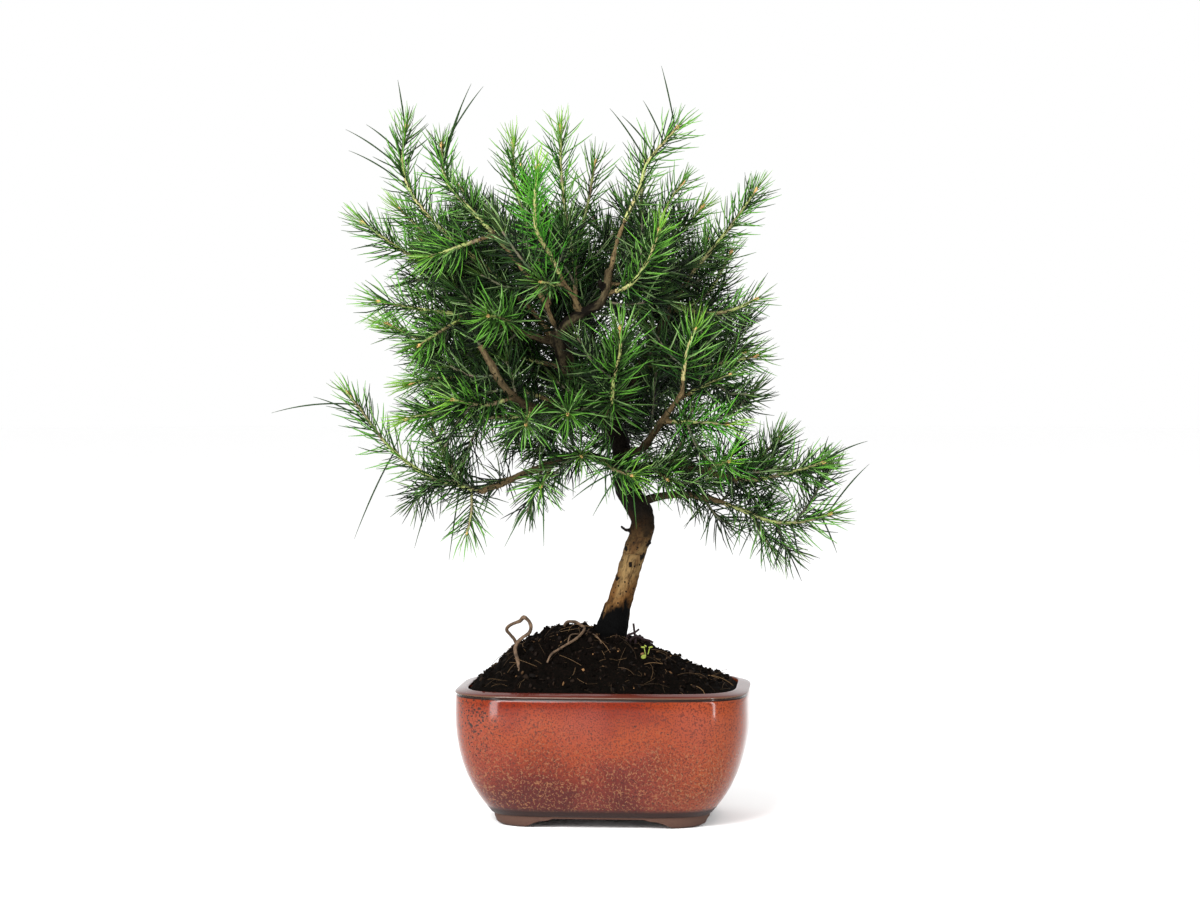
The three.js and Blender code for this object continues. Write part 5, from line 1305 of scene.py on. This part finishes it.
class BONSAI_OT_wood(bpy.types.Operator):
    """Builds the trunk, the branches and the bare start of each shoot as one grown body."""

    bl_idname = "bonsai.wood"
    bl_label = "Trunk and branches"

    def execute(self, context):
        wood = context.scene.bonsai_wood
        lines = wood_lines()
        material = bark_material(wood)
        trunk = grown("trunk_and_branches", line_mesh("limb lines", lines), limb_tree(),
                      {"Sides": LIMB_SIDES, "Material": material})
        joined = trunk.modifiers.new("joined", "REMESH")
        joined.mode = "VOXEL"
        joined.voxel_size = wood.voxel
        joined.use_smooth_shade = True
        smooth = trunk.modifiers.new("smooth", "SMOOTH")
        smooth.iterations = 2
        applied(trunk)
        mark_limb_places(trunk.data, lines)
        roughen(trunk.data, wood.bark_relief, BARK_WIDTH)
        trunk.data.materials.clear()
        trunk.data.materials.append(material)
        finished(trunk, "bark", "wood")
        return {"FINISHED"}


class BONSAI_OT_roots(bpy.types.Operator):
    """Builds the old roots, the dead twig and the seedling that stand in the soil."""

    bl_idname = "bonsai.roots"
    bl_label = "Roots, twig and seedling"

    def execute(self, context):
        wood = context.scene.bonsai_wood
        old_root = dry_wood_material("Dry old root", wood.old_root, dark_end=0.28)
        dead = dry_wood_material("Dead twig", wood.dead_wood, dark_end=0.4)
        sprout = dry_wood_material("Seedling", wood.sprout, dark_end=0.75)
        tree = limb_tree()
        # Name, lines, radii at their start and end, material, slot, nodes that it stands for
        rows = [
            ("old_loop_root", [LOOP_ROOT], (1.2, 1.2), old_root, "old_root", ["loop_root"]),
            ("old_front_root", [FRONT_ROOT], (1.15, 0.75), old_root, "old_root", ["front_root"]),
            ("thin_root", [THIN_ROOT], (0.42, 0.35), old_root, "old_root", []),
            ("forked_twig", TWIG_LINES, (0.9, 0.75), dead, "dead_wood", ["dead_twig"]),
            ("seedling_stems", SPROUT_LINES, (0.36, 0.3), sprout, "sprout", ["seedling"]),
        ]
        for name, paths, radii, material, slot, nodes in rows:
            lines = []
            for points in paths:
                path = stretch(points, ROOT_STEP)
                lines.append((placed(path), tapering(path, *radii), False))
            piece = grown(name, line_mesh(name, lines), tree, {"Sides": ROOT_SIDES, "Material": material})
            roughen(piece.data, radii[0] * ROOT_SKIN_RELIEF * MM, ROOT_SKIN_WIDTH)
            finished(piece, slot, *nodes)
        self.leaves(sprout)
        return {"FINISHED"}

    @staticmethod
    def leaves(material):
        """The seedling's small round leaves, thin and cupped, which face the front."""
        disc = turned_mesh("leaf disc", LEAF_PROFILE, LEAF_SIDES)
        disc_corners = vectors_of(disc.vertices, "co") / MM
        corners, faces = [], []
        for x, y, z, half_length, half_width, turn in SPROUT_LEAVES:
            long, wide = disc_corners[:, 0] * half_length, disc_corners[:, 1] * half_width
            across = long * math.cos(turn) - wide * math.sin(turn)
            up = long * math.sin(turn) + wide * math.cos(turn)
            faces.extend([len(corners) + i for i in face.vertices] for face in disc.polygons)
            corners.extend(np.stack([x + across, y - disc_corners[:, 2], z + up], axis=1))
        mesh = bpy.data.meshes.new("seedling_leaves")
        mesh.from_pydata(placed(corners).tolist(), [], faces)
        mesh.materials.append(material)
        finished(linked("seedling_leaves", mesh), "sprout", "seedling")


def needle_shapes(add, radius_share):
    """Three needles one unit long along +Z, each bent forward by its own amount."""
    profile = add("GeometryNodeCurvePrimitiveCircle", {"Resolution": 3, "Radius": 1.0}).outputs[0]
    for bend in (0.04, 0.1, 0.17):
        line = add("GeometryNodeCurveQuadraticBezier", {
            "Resolution": 3, "Start": (0.0, 0.0, 0.0), "Middle": (0.35 * bend, 0.0, 0.5),
            "End": (-bend, 0.0, 1.0 - bend * bend)})
        along = add("GeometryNodeSplineParameter").outputs["Factor"]
        marked = add("GeometryNodeStoreNamedAttribute", {
            "Geometry": line.outputs[0], "Name": "along", "Value": along}, data_type="FLOAT").outputs[0]
        taper = add("ShaderNodeMapRange", {0: along, 1: 0.7, 2: 1.0, 3: 1.0, 4: 0.25}).outputs[0]
        scale = add("ShaderNodeMath", {0: taper, 1: radius_share}, operation="MULTIPLY").outputs[0]
        yield add("GeometryNodeCurveToMesh", {
            "Curve": marked, "Profile Curve": profile, "Scale": scale, "Fill Caps": True}).outputs[0]


def needled_shoot_tree():
    """Geometry nodes: a green stem along each line, needles all round it, and its long needles."""
    tree, add = new_tree("Needled shoot", {
        "Needle count": 200,
        "Needle length": 0.024,
        "Needle radius": 0.0004,
        "Lean at start": 1.2,
        "Lean at tip": 0.4,
        "Tip crowding": 0.8,
        "Lowest corner": (-1, -1, -1),
        "Highest corner": (1, 1, 1),
        "Seed": 0,
        "Needle material": None,
        "Stem material": None,
    })
    given = add("NodeGroupInput").outputs
    is_long = add("GeometryNodeInputNamedAttribute", {"Name": "long_needle"}, data_type="BOOLEAN")
    parted = add("GeometryNodeSeparateGeometry", {
        "Geometry": given["Geometry"], "Selection": is_long.outputs[0]}, domain="POINT")
    thickness = add("GeometryNodeInputNamedAttribute", {"Name": "thickness"}, data_type="FLOAT").outputs[0]
    along = add("GeometryNodeSplineParameter").outputs["Factor"]

    # The stem
    stems = add("GeometryNodeMeshToCurve", {"Mesh": parted.outputs["Inverted"]}).outputs[0]
    stems = add("GeometryNodeStoreNamedAttribute", {
        "Geometry": stems, "Name": "along", "Value": along}, data_type="FLOAT").outputs[0]
    ring = add("GeometryNodeCurvePrimitiveCircle", {"Resolution": 8, "Radius": 1.0}).outputs[0]
    bark = add("GeometryNodeCurveToMesh", {
        "Curve": stems, "Profile Curve": ring, "Scale": thickness, "Fill Caps": True}).outputs[0]
    bark = add("GeometryNodeStoreNamedAttribute", {
        "Geometry": bark, "Name": "is_stem", "Value": True}, data_type="BOOLEAN").outputs[0]

    # Where each short needle stands, and which way it points
    points = add("GeometryNodePoints", {"Count": given["Needle count"]}).outputs[0]
    index = add("GeometryNodeInputIndex").outputs[0]
    draw = add("FunctionNodeRandomValue", {2: 0.0, 3: 1.0, "Seed": given["Seed"]},
               data_type="FLOAT").outputs[1]
    order = add("ShaderNodeMath", {0: index, 1: draw}, operation="ADD").outputs[0]
    even = add("ShaderNodeMath", {0: order, 1: given["Needle count"]}, operation="DIVIDE").outputs[0]
    share = add("ShaderNodeMath", {0: even, 1: given["Tip crowding"]}, operation="POWER").outputs[0]
    seat = add("GeometryNodeSampleCurve", {"Curves": stems, "Value": along, "Factor": share},
               data_type="FLOAT", mode="FACTOR", use_all_curves=True).outputs
    place, position, tangent, normal = seat["Value"], seat["Position"], seat["Tangent"], seat["Normal"]
    aim = add("FunctionNodeAxesToRotation", {0: tangent, 1: normal},
              primary_axis="Z", secondary_axis="X").outputs[0]
    wander, loose, roll_angle, size_draw, tint = (
        add("FunctionNodeRandomValue", {2: least, 3: most, "Seed": NEEDLE_SEED + step},
            data_type="FLOAT").outputs[1]
        for step, (least, most) in enumerate(NEEDLE_DRAWS))
    around = add("ShaderNodeMath", {0: index, 1: GOLDEN_ANGLE, 2: wander},
                 operation="MULTIPLY_ADD").outputs[0]
    swing = add("FunctionNodeAxisAngleToRotation", {0: (0.0, 0.0, 1.0), 1: around}).outputs[0]
    # They stand off the stem at its start and lean along it at its tip
    bent_place = add("ShaderNodeMath", {0: place, 1: 1.6}, operation="POWER").outputs[0]
    mean_lean = add("ShaderNodeMapRange", {
        0: bent_place, 3: given["Lean at start"], 4: given["Lean at tip"]}).outputs[0]
    lean = add("ShaderNodeMath", {0: mean_lean, 1: loose}, operation="ADD").outputs[0]
    tip_over = add("FunctionNodeAxisAngleToRotation", {0: (0.0, 1.0, 0.0), 1: lean}).outputs[0]
    roll = add("FunctionNodeAxisAngleToRotation", {0: (0.0, 0.0, 1.0), 1: roll_angle}).outputs[0]
    for spin in (swing, tip_over, roll):
        aim = add("FunctionNodeRotateRotation", {0: aim, 1: spin}, rotation_space="LOCAL").outputs[0]
    # The last needles of a shoot are still growing, down to two thirds of their length
    young = add("ShaderNodeMapRange", {0: place, 1: 0.84, 2: 1.0, 3: 1.0, 4: 0.68}).outputs[0]
    size = size_draw
    for part in (young, given["Needle length"]):
        size = add("ShaderNodeMath", {0: size, 1: part}, operation="MULTIPLY").outputs[0]

    # A needle that would reach out of the frame's box, by over 0.01 mm, isn't grown
    straight = add("ShaderNodeCombineXYZ", {2: size}).outputs[0]
    reach = add("FunctionNodeRotateVector", {0: straight, 1: aim}).outputs[0]
    end = add("ShaderNodeVectorMath", {0: position, 1: reach}, operation="ADD").outputs[0]
    held = add("ShaderNodeVectorMath", {0: end, 1: given["Lowest corner"]}, operation="MAXIMUM").outputs[0]
    held = add("ShaderNodeVectorMath", {0: held, 1: given["Highest corner"]},
               operation="MINIMUM").outputs[0]
    beyond = add("ShaderNodeVectorMath", {0: end, 1: held}, operation="DISTANCE").outputs["Value"]
    inside = add("ShaderNodeMath", {0: beyond, 1: 1e-5}, operation="LESS_THAN").outputs[0]

    points = add("GeometryNodeSetPosition", {"Geometry": points, "Position": position}).outputs[0]
    for name, value in (("tint", tint), ("place", place)):
        points = add("GeometryNodeStoreNamedAttribute", {
            "Geometry": points, "Name": name, "Value": value}, data_type="FLOAT").outputs[0]
    radius_share = add("ShaderNodeMath", {0: given["Needle radius"], 1: given["Needle length"]},
                       operation="DIVIDE").outputs[0]
    shapes = add("GeometryNodeJoinGeometry")
    for shape in needle_shapes(add, radius_share):
        single = add("GeometryNodeGeometryToInstance", {0: shape})
        feed(shapes, 0, single.outputs[0])
    # One of the three shapes for each needle
    pick_seed = NEEDLE_SEED + len(NEEDLE_DRAWS)
    pick = add("FunctionNodeRandomValue", {4: 0, 5: 2, "Seed": pick_seed}, data_type="INT").outputs[2]
    needles = add("GeometryNodeInstanceOnPoints", {
        "Points": points, "Selection": inside, "Instance": shapes.outputs[0], "Pick Instance": True,
        "Instance Index": pick, "Rotation": aim, "Scale": size}).outputs[0]

    # Long needles follow their own lines
    long_lines = add("GeometryNodeMeshToCurve", {"Mesh": parted.outputs["Selection"]}).outputs[0]
    long_lines = add("GeometryNodeStoreNamedAttribute", {
        "Geometry": long_lines, "Name": "along", "Value": along}, data_type="FLOAT").outputs[0]
    square = add("GeometryNodeCurvePrimitiveCircle", {"Resolution": 4, "Radius": 1.0}).outputs[0]
    long_needles = add("GeometryNodeCurveToMesh", {
        "Curve": long_lines, "Profile Curve": square, "Scale": thickness, "Fill Caps": True}).outputs[0]
    long_needles = add("GeometryNodeStoreNamedAttribute", {
        "Geometry": long_needles, "Name": "tint", "Value": LONG_TINT}, data_type="FLOAT").outputs[0]

    whole = add("GeometryNodeJoinGeometry")
    for part in (bark, needles, long_needles):
        feed(whole, 0, part)
    real = add("GeometryNodeRealizeInstances", {"Geometry": whole.outputs[0]}).outputs[0]
    green = add("GeometryNodeSetMaterial", {
        "Geometry": real, "Material": given["Needle material"]}).outputs[0]
    is_stem = add("GeometryNodeInputNamedAttribute", {"Name": "is_stem"}, data_type="BOOLEAN").outputs[0]
    coated = add("GeometryNodeSetMaterial", {
        "Geometry": green, "Selection": is_stem, "Material": given["Stem material"]}).outputs[0]
    add("NodeGroupOutput", {"Geometry": coated})
    return tree


def needle_material(name, colour, dark, tip_share, needles):
    """Pine needle: a stiff waxy leaf with a satin face, with painted shade toward its root, some with
    a blue-grey bloom, darker near the start of its shoot from age and painted shade, and
    yellow-green at the growing end of its shoot."""
    material, add, shader = new_material(name, Roughness=0.45, Specular_IOR_Level=0.12)
    along, tint, place = (add("ShaderNodeAttribute", attribute_name=mark).outputs["Fac"]
                          for mark in ("along", "tint", "place"))
    lit = add("ShaderNodeMapRange", {0: along, 1: 0.0, 2: 0.55}).outputs[0]
    waxy = add("ShaderNodeMapRange", {0: tint, 1: 0.8, 2: 1.0, 4: 0.75}).outputs[0]
    deep = add("ShaderNodeMapRange", {0: tint, 1: 0.6, 2: 0.25, 4: 0.9}).outputs[0]
    # Needles near the start of the shoot are older, and painted with the shade of the shoot's inside
    old = add("ShaderNodeMapRange", {0: place, 1: 0.45, 2: 0.0, 4: 0.75}).outputs[0]
    growing = add("ShaderNodeMapRange", {0: place, 1: 0.86, 2: 1.0, 4: tip_share}).outputs[0]
    body = painted(add, dark, (lit, colour), (waxy, needles.bloom), (deep, dark), (old, dark),
                   (growing, needles.tip))
    feed(shader, "Base Color", body)
    return material


def stem_material(name, green, bark, bud):
    """Young pine stem: smooth skin that turns from green to thin bark in patches, with a pale
    scaly bud at its end."""
    material, add, shader = new_material(name, Roughness=0.6)
    along = add("ShaderNodeAttribute", attribute_name="along").outputs["Fac"]
    at_end = add("ShaderNodeMapRange", {0: along, 1: 0.93, 2: 0.96}).outputs[0]
    place = add("ShaderNodeTexCoord").outputs["Object"]
    skin = add("ShaderNodeTexNoise", {"Vector": place, "Scale": 120.0, "Detail": 3.0})
    tan = add("ShaderNodeMapRange", {0: skin.outputs[0], 1: 0.4, 2: 0.62}).outputs[0]
    feed(shader, "Base Color", painted(add, green, (tan, bark), (at_end, bud)))
    return material


def inner_twigs(seed):
    """The points of short leafy twigs on the limbs and the inner part of each shoot. They fill the
    crown."""
    draw = np.random.default_rng(seed)
    carriers = [(points, start, None) for _, _, _, points, start in LIMBS if start is not None]
    for _, bare, _, _, points, _, _ in SHOOTS:
        whole = path_length(curve_samples(points))[-1]
        carriers.append((points, min(bare, whole) * BARE_SHARE + FIRST_TWIG, whole * INNER_SHARE))
    twigs = []
    for points, start, end in carriers:
        path = stretch(points, TWIG_SPACING, start, end)
        turn = draw.uniform(0, 2 * math.pi)
        for before, here in zip(path, path[1:]):
            ahead = Vector(here - before).normalized()
            across = ahead.orthogonal().normalized()
            across.rotate(Quaternion(ahead, turn))
            turn += GOLDEN_ANGLE
            lean = draw.uniform(*TWIG_LEAN)
            way = ahead * math.cos(lean) + across * math.sin(lean)
            length = draw.uniform(*TWIG_LENGTH)
            if here[1] < FRONT_DEPTH and way.y < FRONT_LIMIT:
                continue
            if here[2] > INNER_TOP or here[0] < INNER_LEFT:
                continue
            if here[0] > INNER_RIGHT and here[2] > INNER_RIGHT_TOP:
                continue
            seat = Vector(here)
            droops = here[0] < DROOP_LEFT and here[2] < DROOP_TOP
            lift = Vector((0, 0, (TWIG_DROOP if droops else TWIG_RISE) * length))
            twigs.append([seat, seat + way * length * 0.5, seat + way * length + lift])
    return twigs


def shoot_lines(shoot, radius):
    """The leafy stem, side shoots and long needles of a shoot, as lines for its tree."""
    _, bare, _, _, points, long_needles, side_shoots = shoot
    stem = stretch(points, STEM_STEP, bare)
    radii = tapering(stem, STEM_RADIUS, STEM_TIP_RADIUS)
    radii[-2] = BUD_RADIUS * MM
    lines = [(placed(stem), radii, False)]
    for side in side_shoots:
        path = stretch(side, STEM_STEP)
        lines.append((placed(path), tapering(path, SIDE_RADIUS, STEM_TIP_RADIUS), False))
    leafy_length = sum(path_length(points)[-1] for points, _, _ in lines)
    for share, *tip in long_needles:
        root = stem[round(share * (len(stem) - 1))]
        tip = root + (np.array(tip) - root) * LONG_REACH
        steps = np.linspace(0, 1, LONG_POINTS)[:, None]
        lift = np.array([0, 0, np.linalg.norm(tip - root) * LONG_BEND * 4])
        path = root + (tip - root) * steps + lift * steps * (1 - steps)
        tapers = np.maximum(steps[:, 0] - LONG_TAPER_START, 0) * LONG_TAPER
        radii = list(radius * (LONG_WIDTH - tapers))
        lines.append((placed(path), radii, True))
    return lines, leafy_length


class BONSAI_OT_shoots(bpy.types.Operator):
    """Grows every leafy shoot: its green stem and all its needles."""

    bl_idname = "bonsai.shoots"
    bl_label = "Leafy shoots"

    def execute(self, context):
        needles = context.scene.bonsai_needles
        wood = context.scene.bonsai_wood
        tree = needled_shoot_tree()
        stem = stem_material("Green pine stem", needles.stem, wood.twig, needles.bud)
        candle = stem_material("Pale pine candle", needles.candle, needles.stem, needles.bud)
        shaded_stem = stem_material("Shaded pine stem", needles.inner, wood.crown_bark, wood.crown_bark)
        materials = {}
        for age, (title, tip_share) in NEEDLE_AGES.items():
            colour, dark = getattr(needles, age), getattr(needles, age + "_dark")
            materials[age] = needle_material(title, colour, dark, tip_share, needles)
        low, high = CAD_BOX
        margin = Vector((MM, MM, MM))
        shared = {
            "Needle radius": needles.radius,
            "Lean at start": needles.lean_start,
            "Lean at tip": needles.lean_tip,
            "Lowest corner": tuple(low + margin),
            "Highest corner": tuple(high - margin),
        }
        for order, shoot in enumerate(SHOOTS):
            name, _, length, age, _, _, _ = shoot
            lines, leafy_length = shoot_lines(shoot, needles.radius)
            piece = grown(name + "_foliage", line_mesh(name, lines), tree, shared | {
                "Needle count": int(leafy_length * needles.per_metre * SPARSE_SHOOTS.get(name, 1)),
                "Needle length": length * MM,
                "Tip crowding": needles.tip_crowding,
                "Seed": needles.seed + order,
                "Needle material": materials[age],
                "Stem material": candle if name in PALE_STEMS else stem,
            })
            finished(piece, age + "_needles", name)
        groups = {"inner_left": [], "inner_middle": [], "inner_right": [], "inner_back": []}
        for twig in inner_twigs(needles.seed):
            x, y, _ = twig[0]
            side = "left" if x < LEFT_FROM else "right" if x > RIGHT_FROM else "middle"
            side = "back" if y > BACK_FROM else side
            path = stretch(twig, TWIG_STEP)
            line = (placed(path), tapering(path, SIDE_RADIUS, STEM_TIP_RADIUS), False)
            groups["inner_" + side].append(line)
        for order, (name, lines) in enumerate(groups.items()):
            leafy_length = sum(path_length(points)[-1] for points, _, _ in lines)
            piece = grown(name + "_foliage", line_mesh(name, lines), tree, shared | {
                "Needle count": int(leafy_length * needles.per_metre),
                "Needle length": INNER_NEEDLE_LENGTH * MM,
                "Tip crowding": 1.0,
                "Seed": needles.seed + len(SHOOTS) + order,
                "Needle material": materials["inner"],
                "Stem material": shaded_stem,
            })
            finished(piece, "mature_needles")
        return {"FINISHED"}


def floor_material(stage):
    """Plain pale studio floor: matt and even."""
    material, _, shader = new_material("Pale studio floor", Roughness=0.9)
    shader.inputs["Base Color"].default_value = rgba(stage.floor)
    return material


class BONSAI_OT_stage(bpy.types.Operator):
    """Builds the floor, the soft lights and the camera."""

    bl_idname = "bonsai.stage"
    bl_label = "Floor, light and camera"

    def execute(self, context):
        stage = context.scene.bonsai_stage
        scene = context.scene
        scene.view_settings.view_transform = "Standard"
        floor = linked("studio_floor", turned_mesh("studio_floor", FLOOR_PROFILE, FLOOR_SIDES))
        floor.data.materials.append(floor_material(stage))
        world = bpy.data.worlds.new("White surroundings")
        world.use_nodes = True
        sky = world.node_tree.nodes["Background"].inputs
        sky["Color"].default_value = (1, 1, 1, 1)
        sky["Strength"].default_value = stage.sky_strength
        scene.world = world
        target = placed([VIEW_TARGET])[0]
        for name, (where, size, setting, share) in LIGHTS.items():
            light = bpy.data.lights.new(name, "AREA")
            light.shape = "RECTANGLE"
            light.size, light.size_y = size
            light.energy = getattr(stage, setting) * share
            lamp = bpy.data.objects.new(name, light)
            lamp.location = where = Vector(placed([where])[0])
            lamp.rotation_euler = (Vector(target) - where).to_track_quat("-Z", "Y").to_euler()
            lamp.visible_camera = False
            scene.collection.objects.link(lamp)
        self.camera(scene, target)
        return {"FINISHED"}

    @staticmethod
    def camera(scene, target):
        """The camera at the photograph's viewing angle."""
        lens = bpy.data.cameras.new("photo view")
        lens.sensor_fit = "HORIZONTAL"
        lens.angle = 2 * math.atan(VIEW_WIDTH / 2 / VIEW_DISTANCE)
        lens.clip_start = 0.05
        lens.clip_end = 50
        back = VIEW_DISTANCE * math.cos(VIEW_ELEVATION)
        up = VIEW_DISTANCE * math.sin(VIEW_ELEVATION)
        eye = placed([(VIEW_TARGET[0], VIEW_TARGET[1] - back, VIEW_TARGET[2] + up)])[0]
        camera = bpy.data.objects.new("photo view", lens)
        camera.location = eye
        camera.rotation_euler = (Vector(target) - Vector(eye)).to_track_quat("-Z", "Y").to_euler()
        scene.collection.objects.link(camera)
        scene.camera = camera


OPERATORS = (BONSAI_OT_stage, BONSAI_OT_pot, BONSAI_OT_soil, BONSAI_OT_wood, BONSAI_OT_roots,
             BONSAI_OT_shoots)
SETTINGS = {
    "bonsai_pot": BonsaiPotSettings,
    "bonsai_soil": BonsaiSoilSettings,
    "bonsai_wood": BonsaiWoodSettings,
    "bonsai_needles": BonsaiNeedleSettings,
    "bonsai_stage": BonsaiStageSettings,
}


class BONSAI_PT_panel(bpy.types.Panel):
    """Lists the bonsai's pieces and their settings."""

    bl_idname = "BONSAI_PT_panel"
    bl_label = "Bonsai"
    bl_space_type = "VIEW_3D"
    bl_region_type = "UI"
    bl_category = "Bonsai"

    def draw(self, context):
        for operator in OPERATORS:
            self.layout.operator(operator.bl_idname)
        for name, group in SETTINGS.items():
            box = self.layout.box()
            settings = getattr(context.scene, name)
            for key in group.__annotations__:
                box.prop(settings, key)


def register():
    for name, group in SETTINGS.items():
        bpy.utils.register_class(group)
        setattr(bpy.types.Scene, name, PointerProperty(type=group))
    for operator in OPERATORS:
        bpy.utils.register_class(operator)
    bpy.utils.register_class(BONSAI_PT_panel)


def unregister():
    bpy.utils.unregister_class(BONSAI_PT_panel)
    for operator in reversed(OPERATORS):
        bpy.utils.unregister_class(operator)
    for name, group in SETTINGS.items():
        delattr(bpy.types.Scene, name)
        bpy.utils.unregister_class(group)


def main():
    register()
    bpy.ops.bonsai.stage()
    bpy.ops.bonsai.pot()
    bpy.ops.bonsai.soil()
    bpy.ops.bonsai.wood()
    bpy.ops.bonsai.roots()
    bpy.ops.bonsai.shoots()


if __name__ == "__main__":
    main()
